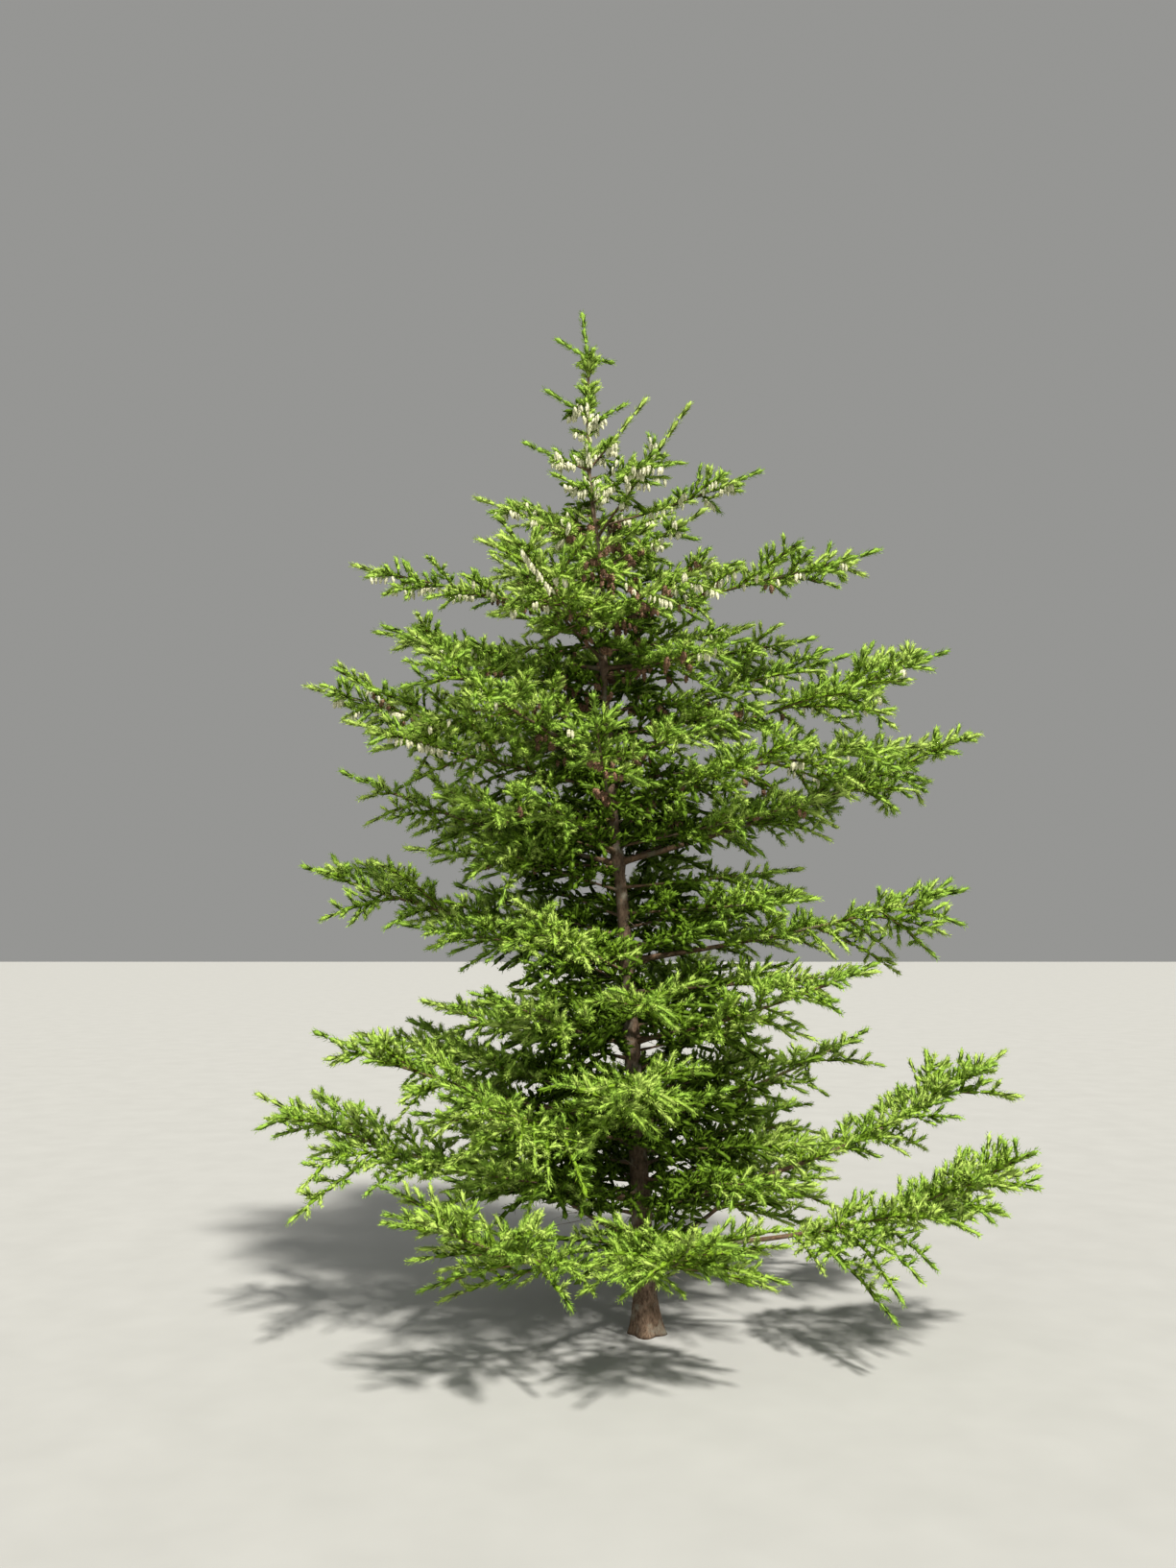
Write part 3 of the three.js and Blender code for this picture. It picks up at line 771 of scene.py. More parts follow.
# Twigs: prisms that grow slimmer with distance, by this share over their full length, and end in a
# point.
TWIG_SIDES = 3
TWIG_STEPS = 2
DEAD_TWIG_STEPS = 3
TWIG_TAPER = 0.7


def twig_mesh(shoots, steps):
    """Each shoot's wood: a slim tapering prism that ends in a point."""
    rows = np.arange(len(shoots))
    points = []
    for step in range(steps):
        share = np.full(len(rows), step / steps)
        _, side, top = shoots.frame(share, rows)
        radius = column(shoots.radius * (1 - TWIG_TAPER * share))
        for i in range(TWIG_SIDES):
            way = turned(side, top, 2 * math.pi * i / TWIG_SIDES)
            points.append(shoots.point(share, rows) + radius * way)
    points.append(shoots.point(np.ones(len(rows)), rows))
    return for_each(points, pointed_tube_faces(steps, TWIG_SIDES))


# Needles: length, width, how far they lean off the shoot in degrees, how many a metre, how much they
# crowd towards its upper side, and the radius that those pressed close to its stem fill.
NEW_NEEDLE = {
    "length": 0.0155, "width": 0.0037, "lean": 37, "per_metre": 510, "crowding": 0, "close": 0.0093,
}
OLD_NEEDLE = {
    "length": 0.017, "width": 0.004, "lean": 52, "per_metre": 195, "crowding": 0.35, "close": 0.0076,
}
INNER_NEEDLE = {
    "length": 0.018, "width": 0.0045, "lean": 56, "per_metre": 80, "crowding": 0.35, "close": 0.0092,
}
# A needle's root is this far out of the close needles that it stands among.
ROOT_SHARE = 0.8
# How unevenly needles stand round the shoot and off it, their lengths, and their twist.
NEEDLE_TURN_SPREAD = 0.5
NEEDLE_LEAN_SPREAD = 7
NEEDLE_LENGTHS = (0.85, 1.15)
NEEDLE_TWIST = 0.9
# Over this last stretch of a shoot they get shorter, down to this share.
NEEDLE_END_STRETCH = 0.012
NEEDLE_END_SHARE = 0.65
# This share of a needle's length goes with its shoot's girth.
NEEDLE_WITH_GIRTH = 0.5
# A long stretch of shoot is stouter than a short one: its girth grows with its length in metres.
GIRTH = {"least": 0.86, "growth": 3.6, "at_nothing": 0.74, "most": 1.5}
# The rings of a spindle of close needles: share of its stretch of shoot, share of the full radius.
# A longer stretch has a spindle for each of these lengths, and the shortest have none.
CLOSE_RINGS = [(0.0, 0.78), (0.72, 0.96)]
CLOSE_SIDES = 3
CLOSE_STRETCH = 0.1
SHORTEST_CLOSE = 0.008


def girths(room, exposure):
    """How stout stretches of shoot are for their lengths and places, around 1."""
    girth = GIRTH["at_nothing"] + GIRTH["growth"] * room + EDGE_GIRTH * edge_share(exposure)
    return np.clip(girth, GIRTH["least"], GIRTH["most"])


def needle_mesh(shoots, start, end, look):
    """Needles on each shoot from one share of its length to another: slim flat spikes that lean
    forwards all round it, widest at the root."""
    room = np.maximum(0, end - start) * shoots.length
    count = np.floor(room * look["per_metre"] + dice.uniform(0, 1, len(shoots))).astype(int)
    owner, number = shared_out(count)
    many = len(owner)
    share = start[owner] + (end - start)[owner] * (number + dice.uniform(0, 1, many)) / count[owner]
    turn = GOLDEN_ANGLE * number + dice.uniform(-NEEDLE_TURN_SPREAD, NEEDLE_TURN_SPREAD, many)
    along, side, top = shoots.frame(share, owner)
    radial = unit(side * column(np.cos(turn)) + top * column(np.sin(turn) + look["crowding"]))
    lean = np.radians(look["lean"] + dice.normal(0, NEEDLE_LEAN_SPREAD, many))
    direction = turned(along, radial, lean)
    across = unit(np.cross(along, radial))
    to_end = (1 - share) * shoots.length[owner]
    near_end = np.clip(to_end / NEEDLE_END_STRETCH, NEEDLE_END_SHARE, 1)
    girth = girths(room, shoots.exposure)[owner]
    length = look["length"] * dice.uniform(*NEEDLE_LENGTHS, many) * near_end
    length = length * (1 - NEEDLE_WITH_GIRTH + NEEDLE_WITH_GIRTH * girth)
    root = shoots.point(share, owner) + radial * column(ROOT_SHARE * look["close"] * near_end * girth)
    twist = dice.uniform(-NEEDLE_TWIST, NEEDLE_TWIST, many)
    edge = turned(across, np.cross(direction, across), twist) * look["width"] / 2
    corners = [root - edge, root + edge, root + direction * column(length)]
    return for_each(corners, np.array([(0, 1, 2)]))


def close_needle_mesh(shoots, start, end, look):
    """The needles pressed close round each shoot's stem, as slim spindles in a row."""
    room = (end - start) * shoots.length
    count = np.where(room > SHORTEST_CLOSE, np.ceil(room / CLOSE_STRETCH), 0).astype(int)
    rows, number = shared_out(count)
    step = (end - start)[rows] / count[rows]
    first = start[rows] + step * number
    turn = dice.uniform(0, 2 * math.pi, len(rows))
    girth = girths(room, shoots.exposure)[rows]
    points = []
    for ring, (place, width) in enumerate(CLOSE_RINGS):
        share = first + step * place
        _, side, top = shoots.frame(share, rows)
        middle = shoots.point(share, rows)
        for i in range(CLOSE_SIDES):
            way = turned(side, top, turn + 2 * math.pi * (i + ring % 2 / 2) / CLOSE_SIDES)
            points.append(middle + way * column(look["close"] * width * girth))
    points.append(shoots.point(first + step, rows))
    return for_each(points, pointed_tube_faces(len(CLOSE_RINGS), CLOSE_SIDES))


# Bark: scaly plates parted by cracks, on the trunk and more faintly on the boughs. A plate's middle
# strays within its cell, a crack is a share of a cell wide, and some plates lie lower than others.
# Every place has a middle nearer than FAR_OFF.
MIDDLE_SPREAD = 0.42
CRACK_WIDTH = 0.3
LOWER_BY = 0.25
FAR_OFF = 9.0


def plates(turns, rows, around, series):
    """Relief from 0 in the cracks to 1 on the plates, at places counted in cells: turns go round,
    and come back after `around` cells, and rows go along."""
    nearest = np.full(turns.shape, FAR_OFF)
    second = np.full(turns.shape, FAR_OFF)
    grade = np.zeros(turns.shape)
    for du in (-1, 0, 1):
        for dv in (-1, 0, 1):
            u, v = np.floor(turns) + du, np.floor(rows) + dv
            wrapped = np.mod(u, around)
            spot_u = u + 0.5 + MIDDLE_SPREAD * jitter(wrapped, v, series)
            spot_v = v + 0.5 + MIDDLE_SPREAD * jitter(wrapped, v, series + 1)
            gap = np.hypot(turns - spot_u, rows - spot_v)
            closer = gap < nearest
            second = np.where(closer, nearest, np.minimum(second, gap))
            grade = np.where(closer, jitter(wrapped, v, series + 2), grade)
            nearest = np.where(closer, gap, nearest)
    crack = np.clip((second - nearest) / CRACK_WIDTH, 0, 1)
    return crack * (1 - LOWER_BY + LOWER_BY * grade)


TRUNK_SIDES = 40
TRUNK_RING_STEP = 0.0102
PLATE_HEIGHT = 0.024
PLATES_AROUND = 15
PLATE_SERIES = 3
# How far plates stand out, at most and as a share of the trunk's radius, and the relief at which the
# radius is the solid's.
PLATE_RELIEF = 0.0030
PLATE_RELIEF_SHARE = 0.09
PLAIN_RELIEF = 0.55
# Rows of plates wave up and down by this many rows: waves round the trunk, radians a metre.
ROW_WAVE = 0.25
ROW_WAVES = (3, 2)
# Slow swellings, as a share of the radius: radians a metre, waves round the trunk, start.
SWELLING_SHARE = 0.012
SWELLINGS = [(7, 2, 0), (11, -3, 1)]
# A collar round a bough's foot, as shares of the bough's radius: how far it stands out, how wide it
# is, and how far up its middle is.
COLLAR_SHARE = 0.75
COLLAR_WIDTH = 1.6
COLLAR_RISE = 0.3


def bark_relief(height, angle):
    """How far the trunk's bark stands out of its plain radius: plates on slow swellings."""
    cells = angle / (2 * math.pi) * PLATES_AROUND + 0 * height
    wave = ROW_WAVE * np.sin(ROW_WAVES[0] * angle + ROW_WAVES[1] * height)
    relief = plates(cells, height / PLATE_HEIGHT + wave, PLATES_AROUND, PLATE_SERIES)
    depth = np.minimum(PLATE_RELIEF, PLATE_RELIEF_SHARE * trunk_radius(height, angle))
    slow = sum(np.sin(up * height + around * angle + start) for up, around, start in SWELLINGS)
    return depth * (relief - PLAIN_RELIEF) + SWELLING_SHARE * trunk_radius(height) * slow


def collar_relief(height, angle, bough):
    """How far the trunk swells round the foot of a bough."""
    facing = math.radians(bough.angle - 90)
    off = np.mod(angle - facing + math.pi, 2 * math.pi) - math.pi
    limb = bough.radius(0.0)
    rise = height - bough.foot[2] - COLLAR_RISE * limb
    near = (off * trunk_radius(height)) ** 2 + rise**2
    return COLLAR_SHARE * limb * np.exp(-near / (2 * (COLLAR_WIDTH * limb) ** 2))


def trunk_mesh(boughs):
    """The trunk with its scaly bark and a collar under each bough, closed at both ends."""
    rings = round(TRUNK_HEIGHT / TRUNK_RING_STEP) + 1
    height = np.linspace(0, TRUNK_HEIGHT, rings)[:, None]
    angle = (2 * math.pi * np.arange(TRUNK_SIDES) / TRUNK_SIDES)[None, :]
    radius = trunk_radius(height, angle) + bark_relief(height, angle)
    for bough in boughs:
        radius = radius + collar_relief(height, angle, bough)
    middle = trunk_at(height[:, 0])
    walls = np.stack([
        middle[:, 0:1] + radius * np.cos(angle),
        middle[:, 1:2] + radius * np.sin(angle),
        middle[:, 2:3] + 0 * radius,
    ], axis=-1).reshape(-1, 3)
    points = np.concatenate([walls, middle[-1:], middle[:1]])
    side = np.arange(TRUNK_SIDES)
    foot = np.full(TRUNK_SIDES, len(points) - 1)
    under = np.stack([foot, np.roll(side, -1), side], axis=1)
    return points, np.concatenate([pointed_tube_faces(rings, TRUNK_SIDES), under])


BOUGH_SIDES = 8
BOUGH_RING_STEP = 0.05
LEAST_BOUGH_RINGS = 8
# A bough's wood ends in a short point where this share of its new growth is still to come.
GREEN_END = 0.9
BOUGH_POINT = 0.004
# Its foot is wider by this share, which fades outwards from the bark.
FOOT_FLARE = 0.7
FOOT_FLARE_FADE = 0.02
BOUGH_PLATE_LENGTH = 0.03
BOUGH_PLATES_AROUND = 4
BOUGH_RELIEF_SHARE = 0.16
BOUGH_PLAIN_RELIEF = 0.5


def bough_mesh(bough):
    """One bough from inside the trunk to its new growth: a flared foot and faint plates."""
    rings = max(LEAST_BOUGH_RINGS, round(bough.reach / BOUGH_RING_STEP))
    share = np.linspace(0, 1 - GREEN_END * NEW_ON_BOUGH / bough.reach, rings)
    along, side, top = bough.frame(share)
    angle = (2 * math.pi * np.arange(BOUGH_SIDES) / BOUGH_SIDES)[None, :]
    out = share * bough.reach
    from_bark = np.maximum(0, out - trunk_radius(bough.foot[2]))
    radius = bough.radius(share) * (1 + FOOT_FLARE * np.exp(-from_bark / FOOT_FLARE_FADE))
    cells = angle / (2 * math.pi) * BOUGH_PLATES_AROUND + 0 * column(share)
    relief = plates(cells, column(out / BOUGH_PLATE_LENGTH), BOUGH_PLATES_AROUND, bough.index)
    radius = column(radius) * (1 + BOUGH_RELIEF_SHARE * (relief - BOUGH_PLAIN_RELIEF))
    middle = bough.point(share)
    ring = turned(side[:, None, :], top[:, None, :], angle)
    walls = (middle[:, None, :] + ring * column(radius)).reshape(-1, 3)
    tip = middle[-1:] + along[-1:] * BOUGH_POINT
    return np.concatenate([walls, tip]), pointed_tube_faces(rings, BOUGH_SIDES)


# Dead twigs: half on the trunk, between these heights, and half on boughs that leave it below the
# upper one. Those on boughs stand on this part of their reach, and lean forwards, sideways and down
# by these shares.
DEAD_TWIGS = 150
DEAD_TWIG_HEIGHTS = (0.2, 1.7)
DEAD_TWIG_LENGTH = (0.06, 0.24)
DEAD_TWIG_RADIUS = (0.0012, 0.0024)
DEAD_TWIG_RISE = (-25, 25)
DEAD_TWIG_PLACES = (0.06, 0.34)
DEAD_TWIG_FORWARDS = 0.6
DEAD_TWIG_SIDEWAYS = (0.5, 1)
DEAD_TWIG_DOWN = (-0.2, 0.5)
DEAD_TWIG_BEND = 0.12


def dead_twigs(boughs):
    """Bare dead twigs on the trunk low down and on the inner parts of the lower boughs."""
    low = [b for b in boughs if b.foot[2] < DEAD_TWIG_HEIGHTS[1]]
    half = DEAD_TWIGS // 2
    height = dice.uniform(*DEAD_TWIG_HEIGHTS, half)
    angle = dice.uniform(0, 360, half)
    rise = np.radians(dice.uniform(*DEAD_TWIG_RISE, half))
    roots = [trunk_at(height)]
    ways = [turned(compass(angle), UP, rise)]
    for _ in range(DEAD_TWIGS - half):
        bough = low[dice.integers(len(low))]
        share = dice.uniform(*DEAD_TWIG_PLACES)
        along, side, top = bough.frame(share)
        side = side * dice.choice([-1.0, 1.0])
        way = along * DEAD_TWIG_FORWARDS + side * dice.uniform(*DEAD_TWIG_SIDEWAYS)
        roots.append(bough.point(share)[None, :])
        ways.append(unit(way - top * dice.uniform(*DEAD_TWIG_DOWN))[None, :])
    root, way = np.concatenate(roots), np.concatenate(ways)
    many = len(root)
    length = dice.uniform(*DEAD_TWIG_LENGTH, many)
    bend = dice.normal(0, DEAD_TWIG_BEND, (many, 3)) * column(length)
    top = unit(np.cross(way, dice.normal(0, 1, (many, 3))))
    radius = dice.uniform(*DEAD_TWIG_RADIUS, many)
    return Shoots(root, way, top, length, bend, radius, np.zeros(many))


# Cones: their lengths, how unevenly they hang, and their outline from top to tip. Each kind has its
# widest radius as a share of its length, and stands every second scale out by a share of that. The
# others lie in less far, and scales that stand out reach down a little.
CONE_LENGTH = (0.034, 0.045)
CONE_LEAN = 0.16
CONE_SIDES = 6
CONE_OUTLINE = (0.0, 0.7, 0.97, 1.0, 0.9, 0.66, 0.0)
SCALE_IN = 0.6
SCALE_LIP = 0.02
GREEN_CONE = {"slimness": 0.19, "scales": 0.08}
BROWN_CONE = {"slimness": 0.24, "scales": 0.26}
SIDEWAYS = (1.0, 0.2, 0.0)

# Where they hang: the chance of a cluster on a shoot above this exposure, the part of it that they
# hang under, and how many there are. Chances grow with height, from a least share of them.
GREEN_CONES_FROM = 2.3
GREEN_CONES_OVER = 0.8
GREEN_CONES_LEAST = 0.15
GREEN_ON_SPRAYS = {"chance": 0.42, "exposure": 0.5, "part": (0.15, 0.8), "cluster": (3, 9)}
GREEN_ON_BOUGHS = {"chance": 0.44, "exposure": 0.62, "part": (0.0, 1.0), "cluster": (7, 15)}
# Round the trunk under the leader, between these heights, most shoots have some.
TOP_CONES_FROM = 3.42
TOP_CONES_TO = 3.92
TOP_CONES_CHANCE = 0.85
# Last year's hang further in: one chance below the lower exposure, and another up to the higher.
BROWN_CONES_FROM = 1.9
BROWN_CONES_TO = 3.5
BROWN_CONES_OVER = 0.9
BROWN_CONES_LEAST = 0.12
BROWN_INSIDE = {"chance": 0.46, "exposure": 0.5}
BROWN_OUTSIDE = {"chance": 0.16, "exposure": 0.8}
BROWN_CLUSTERS = {"part": (0.04, 0.5), "cluster": (2, 6)}


def cone_mesh(tops, look):
    """Hanging cones: spindles whose scales stand out in turn from ring to ring."""
    many = len(tops)
    lengths = dice.uniform(*CONE_LENGTH, many)
    down = unit(dice.normal(0, CONE_LEAN, (many, 3)) - UP)
    side = unit(np.cross(down, SIDEWAYS))
    other = np.cross(down, side)
    points = []
    for ring, width in enumerate(CONE_OUTLINE):
        middle = tops + down * column(lengths * ring / (len(CONE_OUTLINE) - 1))
        for i in range(CONE_SIDES):
            way = turned(side, other, 2 * math.pi * (i + ring % 2 / 2) / CONE_SIDES)
            out = look["scales"] * (1 if (i + ring) % 2 else -SCALE_IN)
            radius = column(lengths * look["slimness"] * width * (1 + out))
            lip = down * column(lengths * SCALE_LIP * out)
            points.append(middle + radius * way + lip)
    return for_each(points, tube_faces(len(CONE_OUTLINE), CONE_SIDES))


def cone_clusters(shoots, chosen, look):
    """Tops of cones that hang in clusters under the chosen shoots."""
    rows = np.nonzero(chosen)[0]
    rows = np.repeat(rows, dice.integers(*look["cluster"], len(rows)))
    share = dice.uniform(*look["part"], len(rows))
    return shoots.point(share, rows) - UP * column(shoots.radius[rows])


def green_cone_tops(sprays, stretches):
    """Where this year's cones hang: along the upper boughs' sprays and outer parts, and thickest
    round the trunk under the leader."""
    height = sprays.root[:, 2]
    lot = dice.uniform(0, 1, len(sprays))
    rise = climb(height, GREEN_CONES_FROM, GREEN_CONES_OVER, GREEN_CONES_LEAST)
    chance = GREEN_ON_SPRAYS["chance"] * rise * (sprays.exposure > GREEN_ON_SPRAYS["exposure"])
    below_leader = height < TOP_CONES_TO
    chance = np.where((height > TOP_CONES_FROM) & below_leader, TOP_CONES_CHANCE, chance)
    chosen = (height > GREEN_CONES_FROM) & below_leader & (lot < chance)
    on_sprays = cone_clusters(sprays, chosen, GREEN_ON_SPRAYS)
    chosen = dice.uniform(0, 1, len(stretches)) < GREEN_ON_BOUGHS["chance"]
    chosen &= stretches.exposure > GREEN_ON_BOUGHS["exposure"]
    chosen &= stretches.root[:, 2] > GREEN_CONES_FROM
    return np.concatenate([on_sprays, cone_clusters(stretches, chosen, GREEN_ON_BOUGHS)])


def brown_cone_tops(sprays):
    """Where last year's open cones hang: further in and further down."""
    height = sprays.root[:, 2]
    inside = sprays.exposure < BROWN_INSIDE["exposure"]
    chance = np.where(inside, BROWN_INSIDE["chance"], BROWN_OUTSIDE["chance"])
    chance = chance * climb(height, BROWN_CONES_FROM, BROWN_CONES_OVER, BROWN_CONES_LEAST)
    chosen = (height > BROWN_CONES_FROM) & (height < BROWN_CONES_TO)
    chosen &= sprays.exposure < BROWN_OUTSIDE["exposure"]
    chosen &= dice.uniform(0, 1, len(sprays)) < chance
    return cone_clusters(sprays, chosen, BROWN_CLUSTERS)


# Materials. Blender names the sockets of its colour mixer alike, so they are told by number.
MIX_FACTOR = 0
MIX_UNDER = 6
MIX_OVER = 7
MIX_RESULT = 2

TRUNK_BARK = {
    "dark": (0.05, 0.031, 0.02),
    "pale": (0.165, 0.112, 0.075),
    "patch": (0.17, 0.15, 0.115),
    "stretch": (1, 1, 0.45),
}
BOUGH_BARK = {
    "dark": (0.06, 0.036, 0.021),
    "pale": (0.17, 0.105, 0.063),
    "patch": (0.14, 0.125, 0.085),
    "stretch": (1, 1, 1),
}
TWIG_BROWN = (0.19, 0.105, 0.05)
DEAD_TWIG_GREY = (0.21, 0.165, 0.125)
CREAM_SCALES = {"dark": (0.42, 0.42, 0.24), "pale": (0.72, 0.70, 0.50), "roughness": 0.5}
BROWN_SCALES = {"dark": (0.085, 0.04, 0.022), "pale": (0.25, 0.135, 0.075), "roughness": 0.75}
NEW_GREENS = [(0.265, 0.405, 0.056), (0.205, 0.34, 0.042), (0.33, 0.455, 0.088)]
OLD_GREENS = [(0.125, 0.222, 0.012), (0.16, 0.27, 0.016)]
# The inner crown's needles: a darker green for their age, and darker still as painted shade.
INNER_GREEN_WITH_PAINTED_SHADE = (0.082, 0.15, 0.008)
FLOOR_GREYS = [(0.33, 0.33, 0.32), (0.35, 0.35, 0.34)]
BLACK = (0, 0, 0)
WHITE = (1, 1, 1)


def material(name, roughness, specular=0.5):
    """A new material and its shader, with its plain values set on the shader itself."""
    made = bpy.data.materials.new(name)
    made.use_nodes = True
    shader = made.node_tree.nodes["Principled BSDF"]
    shader.inputs["Roughness"].default_value = roughness
    shader.inputs["Specular IOR Level"].default_value = specular
    return made, shader


def link(made, source, output, target, socket):
    """Connects one node's output to another's socket."""
    made.node_tree.links.new(source.outputs[output], target.inputs[socket])


def noise(made, scale, detail, roughness=0.6, stretch=(1, 1, 1)):
    """A noise texture in the object's own space."""
    nodes = made.node_tree.nodes
    place = nodes.new("ShaderNodeTexCoord")
    mapping = nodes.new("ShaderNodeMapping")
    mapping.inputs["Scale"].default_value = stretch
    texture = nodes.new("ShaderNodeTexNoise")
    texture.inputs["Scale"].default_value = scale
    texture.inputs["Detail"].default_value = detail
    texture.inputs["Roughness"].default_value = roughness
    link(made, place, "Object", mapping, "Vector")
    link(made, mapping, "Vector", texture, "Vector")
    return texture


def shades(made, texture, low, high):
    """Two colours by a texture: each is its place on the ramp and the colour."""
    node = made.node_tree.nodes.new("ShaderNodeValToRGB")
    for element, (position, colour) in zip(node.color_ramp.elements, (low, high)):
        element.position = position
        element.color = (*colour, 1)
    link(made, texture, "Fac", node, "Fac")
    return node


def bumped(made, shader, texture, strength, distance):
    """Adds a bump from a texture."""
    node = made.node_tree.nodes.new("ShaderNodeBump")
    node.inputs["Strength"].default_value = strength
    node.inputs["Distance"].default_value = distance
    link(made, texture, "Fac", node, "Height")
    link(made, node, "Normal", shader, "Normal")


def mottled(name, roughness, scale, detail, tones, specular=0.5, bump=None):
    """A material of two tones by a noise, with a bump from it if it has a strength and a depth."""
    made, shader = material(name, roughness, specular)
    texture = noise(made, scale, detail)
    link(made, shades(made, texture, *tones), "Color", shader, "Base Color")
    if bump:
        bumped(made, shader, texture, *bump)
    return made


def shade(colour, share):
    """A colour, made this much lighter or darker."""
    return tuple(share * c for c in colour)


def needle_material(name, colour):
    """Waxy needles of one base colour, a little lighter and darker from twig to twig."""
    tones = (0.32, shade(colour, 0.84)), (0.68, shade(colour, 1.14))
    return mottled(name, roughness=0.58, scale=26, detail=2, tones=tones, specular=0.12)


def twig_material(name, colour):
    """Thin matt twigs with faint ridges."""
    tones = (0.35, shade(colour, 0.7)), (0.65, colour)
    return mottled(name, roughness=0.8, scale=150, detail=3, tones=tones, bump=(0.4, 0.001))


def cone_material(name, look):
    """Cone scales, mottled in two tones by a noise."""
    tones = (0.38, look["dark"]), (0.6, look["pale"])
    return mottled(name, look["roughness"], scale=170, detail=2, tones=tones, bump=(0.5, 0.002))


def floor_material():
    """A plain pale floor, faintly mottled."""
    tones = (0.3, FLOOR_GREYS[0]), (0.7, FLOOR_GREYS[1])
    return mottled("floor", roughness=0.9, scale=3, detail=2, tones=tones)


def bark_material(name, look):
    """Scaly bark: plates of two browns, with greyish patches, rough all over."""
    made, shader = material(name, roughness=0.88, specular=0.2)
    flakes = noise(made, scale=95, detail=6, roughness=0.7, stretch=look["stretch"])
    browns = shades(made, flakes, (0.36, look["dark"]), (0.62, look["pale"]))
    lichen = noise(made, scale=17, detail=4)
    spots = shades(made, lichen, (0.52, BLACK), (0.66, WHITE))
    mix = made.node_tree.nodes.new("ShaderNodeMix")
    mix.data_type = "RGBA"
    mix.inputs[MIX_OVER].default_value = (*look["patch"], 1)
    link(made, spots, "Color", mix, MIX_FACTOR)
    link(made, browns, "Color", mix, MIX_UNDER)
    link(made, mix, MIX_RESULT, shader, "Base Color")
    bumped(made, shader, flakes, strength=0.6, distance=0.004)
    return made


# The tree, piece by piece. Shoots further in than the inner exposure have few needles, dark for their age
# and darker still as painted shade. Further out, the share of shoots with new growth climbs with
# exposure.
INNER_EXPOSURE = 0.3
FRESH_FROM = 0.02
FRESH_OVER = 0.4
# So many neighbours have one shade, and old needles need this share of a shoot.
SAME_SHADE = 3
SHORTEST_OLD = 0.02
LETTERS = "abc"


def add_wood(boughs, weak, sprays):
    """The trunk, the boughs, the twigs and the dead twigs."""
    limbs = [n for n in sorted(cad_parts) if n.startswith("bough_")]
    bark = bark_material("trunk_bark", TRUNK_BARK)
    mesh_piece("trunk_bark", trunk_mesh(boughs), bark, ["trunk"], smooth=True)
    bark = bark_material("bough_bark", BOUGH_BARK)
    form = stacked([bough_mesh(b) for b in boughs + weak])
    mesh_piece("boughs", form, bark, limbs, smooth=True)
    wood = twig_material("twig_wood", TWIG_BROWN)
    mesh_piece("twigs", twig_mesh(sprays, TWIG_STEPS), wood)
    wood = twig_material("dead_twig_wood", DEAD_TWIG_GREY)
    mesh_piece("dead_twigs", twig_mesh(dead_twigs(boughs), DEAD_TWIG_STEPS), wood)


def needle_piece(name, shoots, start, end, look, colour):
    """Needles on shoots, flat where they stand apart and smooth where they lie close."""
    masses = [n for n in sorted(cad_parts) if n.startswith("foliage_")]
    spikes = needle_mesh(shoots, start, end, look)
    form = stacked([spikes, close_needle_mesh(shoots, start, end, look)])
    smooth = np.arange(len(form[1])) >= len(spikes[1])
    mesh_piece(name, form, needle_material(name, colour), masses, smooth)


def add_needles(groups):
    """Needles on groups of shoots, each with the length of its new growth: this year's needles are
    bright, older ones darker, and the inner crown's darkest, partly by their own older colour and
    partly by painted shade."""
    shoots = joined([group for group, _ in groups])
    new_length = np.concatenate([np.full(len(group), new) for group, new in groups])
    lot = dice.uniform(0, 1, len(shoots))
    inner = shoots.exposure < INNER_EXPOSURE
    fresh = ~inner & (lot < (shoots.exposure - FRESH_FROM) / FRESH_OVER)
    none, full = np.zeros(len(shoots)), np.ones(len(shoots))
    start_new = np.where(fresh, np.clip(1 - new_length / shoots.length, 0, 1), full)
    has_old = start_new > SHORTEST_OLD
    tone = (jitter(np.arange(len(shoots)) // SAME_SHADE, SHADE_SERIES) + 1) / 2

    def add(name, chosen, start, end, look, colour):
        rows = np.nonzero(chosen)[0]
        needle_piece(name, shoots.pick(rows), start[rows], end[rows], look, colour)

    for i, colour in enumerate(NEW_GREENS):
        chosen = fresh & (np.floor(tone * len(NEW_GREENS)) == i)
        add("needles_new_" + LETTERS[i], chosen, start_new, full, NEW_NEEDLE, colour)
    for i, colour in enumerate(OLD_GREENS):
        chosen = ~inner & has_old & (np.floor(tone * len(OLD_GREENS)) == i)
        add("needles_old_" + LETTERS[i], chosen, none, start_new, OLD_NEEDLE, colour)
    # Inner shoots take the darkest green: their older colour, with painted shade on top.
    add("needles_inner_painted_shade", inner & has_old, none, start_new, INNER_NEEDLE, INNER_GREEN_WITH_PAINTED_SHADE)


def add_cones(sprays, stretches):
    """This year's cones and last year's."""
    form = cone_mesh(green_cone_tops(sprays, stretches), GREEN_CONE)
    mesh_piece("green_cones", form, cone_material("green_cones", CREAM_SCALES), smooth=True)
    form = cone_mesh(brown_cone_tops(sprays), BROWN_CONE)
    mesh_piece("brown_cones", form, cone_material("brown_cones", BROWN_SCALES))


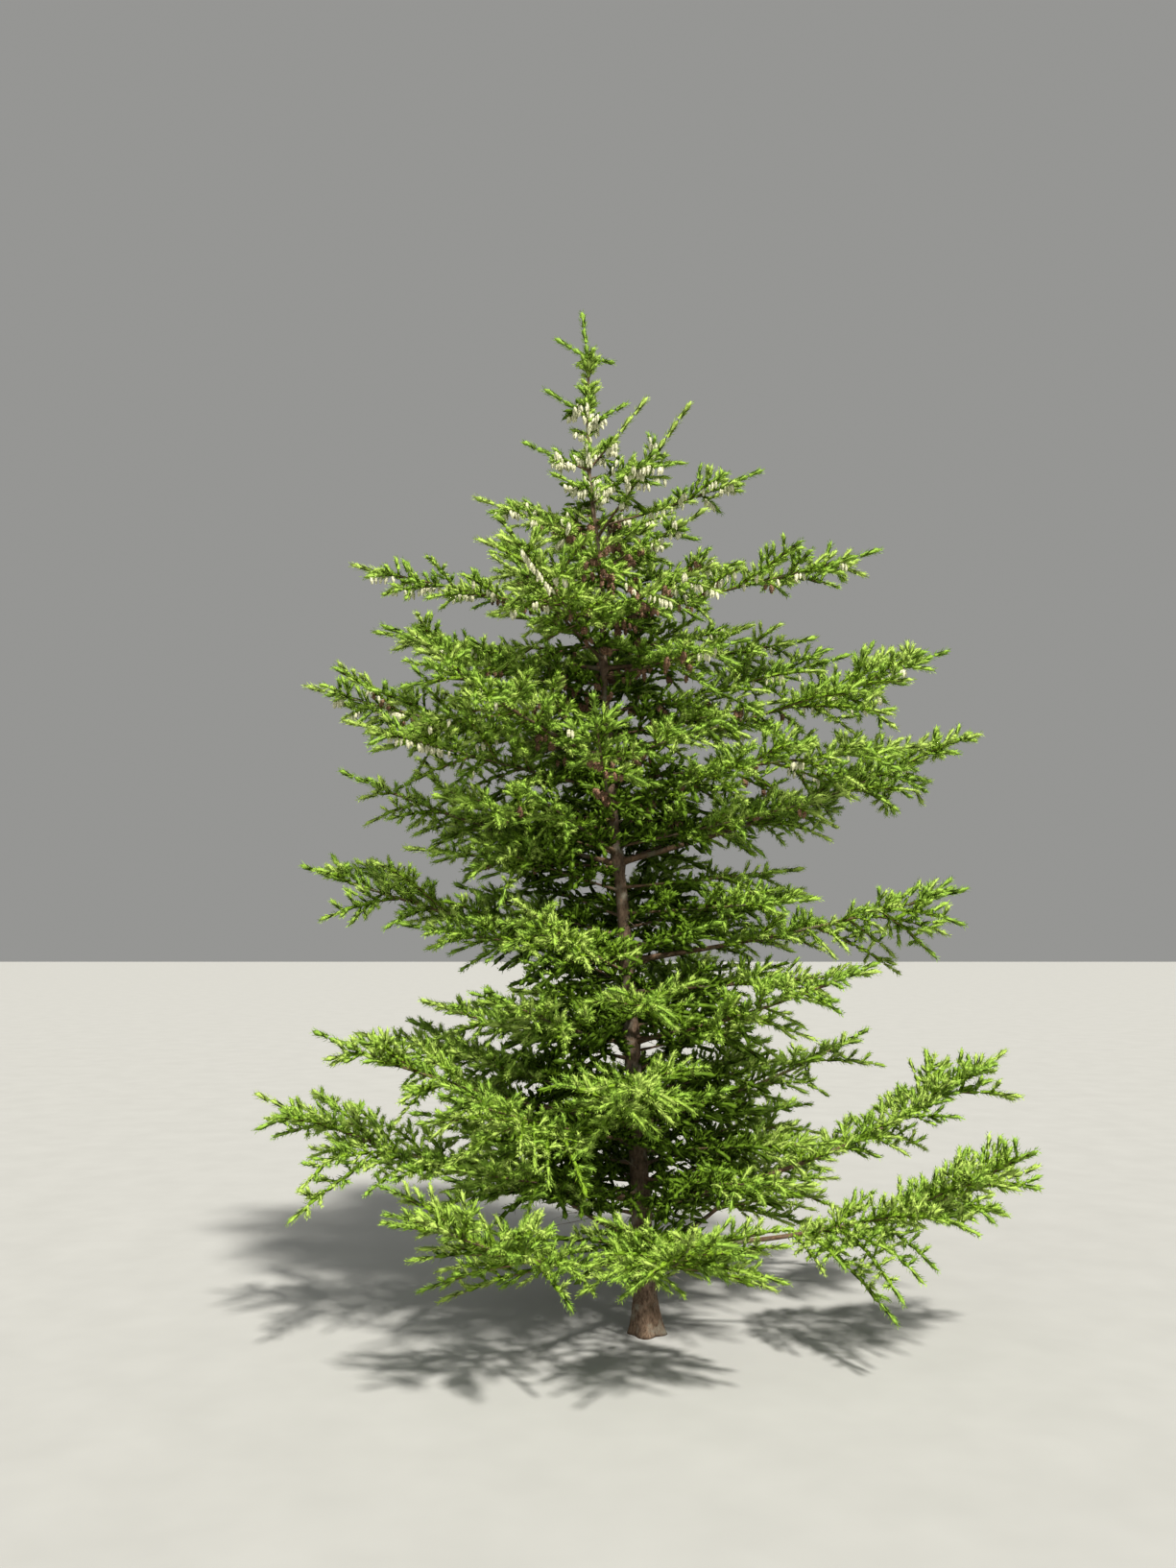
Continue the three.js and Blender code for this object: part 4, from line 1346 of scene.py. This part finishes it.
def build_tree():
    """Boughs, then the shoots that grow on them, then a piece for each kind of thing."""
    boughs = make_boughs()
    weak = make_weak_boughs(len(boughs))
    sprays = [sprays_on(b, boughs) for b in boughs] + [sprays_on(b, []) for b in weak]
    sprays = joined(sprays + [trunk_shoots()])
    shoots = side_shoots(sprays, SHOOT_RULE)
    small = side_shoots(shoots, SMALL_SHOOT_RULE)
    small = small.pick(dice.uniform(0, 1, len(small)) > EDGE_OPENNESS * edge_share(small.exposure))
    stretches = joined([stretches_of(b) for b in boughs + weak])
    ends = joined([bough_end(b) for b in boughs + weak])
    on_limbs = side_shoots(stretches, LIMB_SHOOT_RULE)
    add_wood(boughs, weak, sprays)
    add_needles([
        (sprays, NEW_ON_SPRAY),
        (joined([shoots, on_limbs]), NEW_ON_SHOOT),
        (joined([small, ends, leader_shoots()]), LONGEST_NEW),
        (stretches, 0.0),
    ])
    add_cones(sprays, stretches)


# Camera, floor and light: soft daylight, a key sun to the viewer's right and a wide fill to the left.
FLOOR_SIZE = 160
SKY_COLOUR = (0.98, 0.98, 0.95, 1)
SKY_STRENGTH = 0.31
KEY_SUN = {"energy": 6.9, "width": 5, "colour": (1.0, 0.965, 0.89), "turn": (36, 17, 4)}
FILL_SUN = {"energy": 0.8, "width": 70, "colour": (0.95, 1.0, 0.93), "turn": (62, 0, -25)}


def add_camera():
    """The camera, where the photograph's viewer stood."""
    lens = bpy.data.cameras.new("camera")
    lens.lens = LENS_MM
    lens.sensor_width = SENSOR_MM
    lens.sensor_fit = "AUTO"
    camera = placed("camera", lens)
    camera.location = EYE
    camera.rotation_euler = (math.radians(90 + PITCH_DEGREES), 0, 0)
    bpy.context.scene.camera = camera


def add_floor():
    """A wide floor at ground level."""
    bpy.ops.mesh.primitive_plane_add(size=FLOOR_SIZE, location=(0, 0, 0))
    floor = bpy.context.object
    floor.name = "floor"
    floor.data.materials.append(floor_material())


def add_sky():
    """An even sky all round."""
    world = bpy.data.worlds.new("world")
    world.use_nodes = True
    sky = world.node_tree.nodes["Background"]
    sky.inputs["Color"].default_value = SKY_COLOUR
    sky.inputs["Strength"].default_value = SKY_STRENGTH
    bpy.context.scene.world = world


def add_sun(name, look):
    """A sun, as wide across as its angle in degrees and turned by three more."""
    lamp = bpy.data.lights.new(name, "SUN")
    lamp.energy = look["energy"]
    lamp.angle = math.radians(look["width"])
    lamp.color = look["colour"]
    sun = placed(name, lamp)
    sun.rotation_euler = [math.radians(turn) for turn in look["turn"]]


add_camera()
build_tree()
add_floor()
add_sky()
add_sun("key", KEY_SUN)
add_sun("fill", FILL_SUN)
bpy.context.scene.view_settings.view_transform = "Standard"
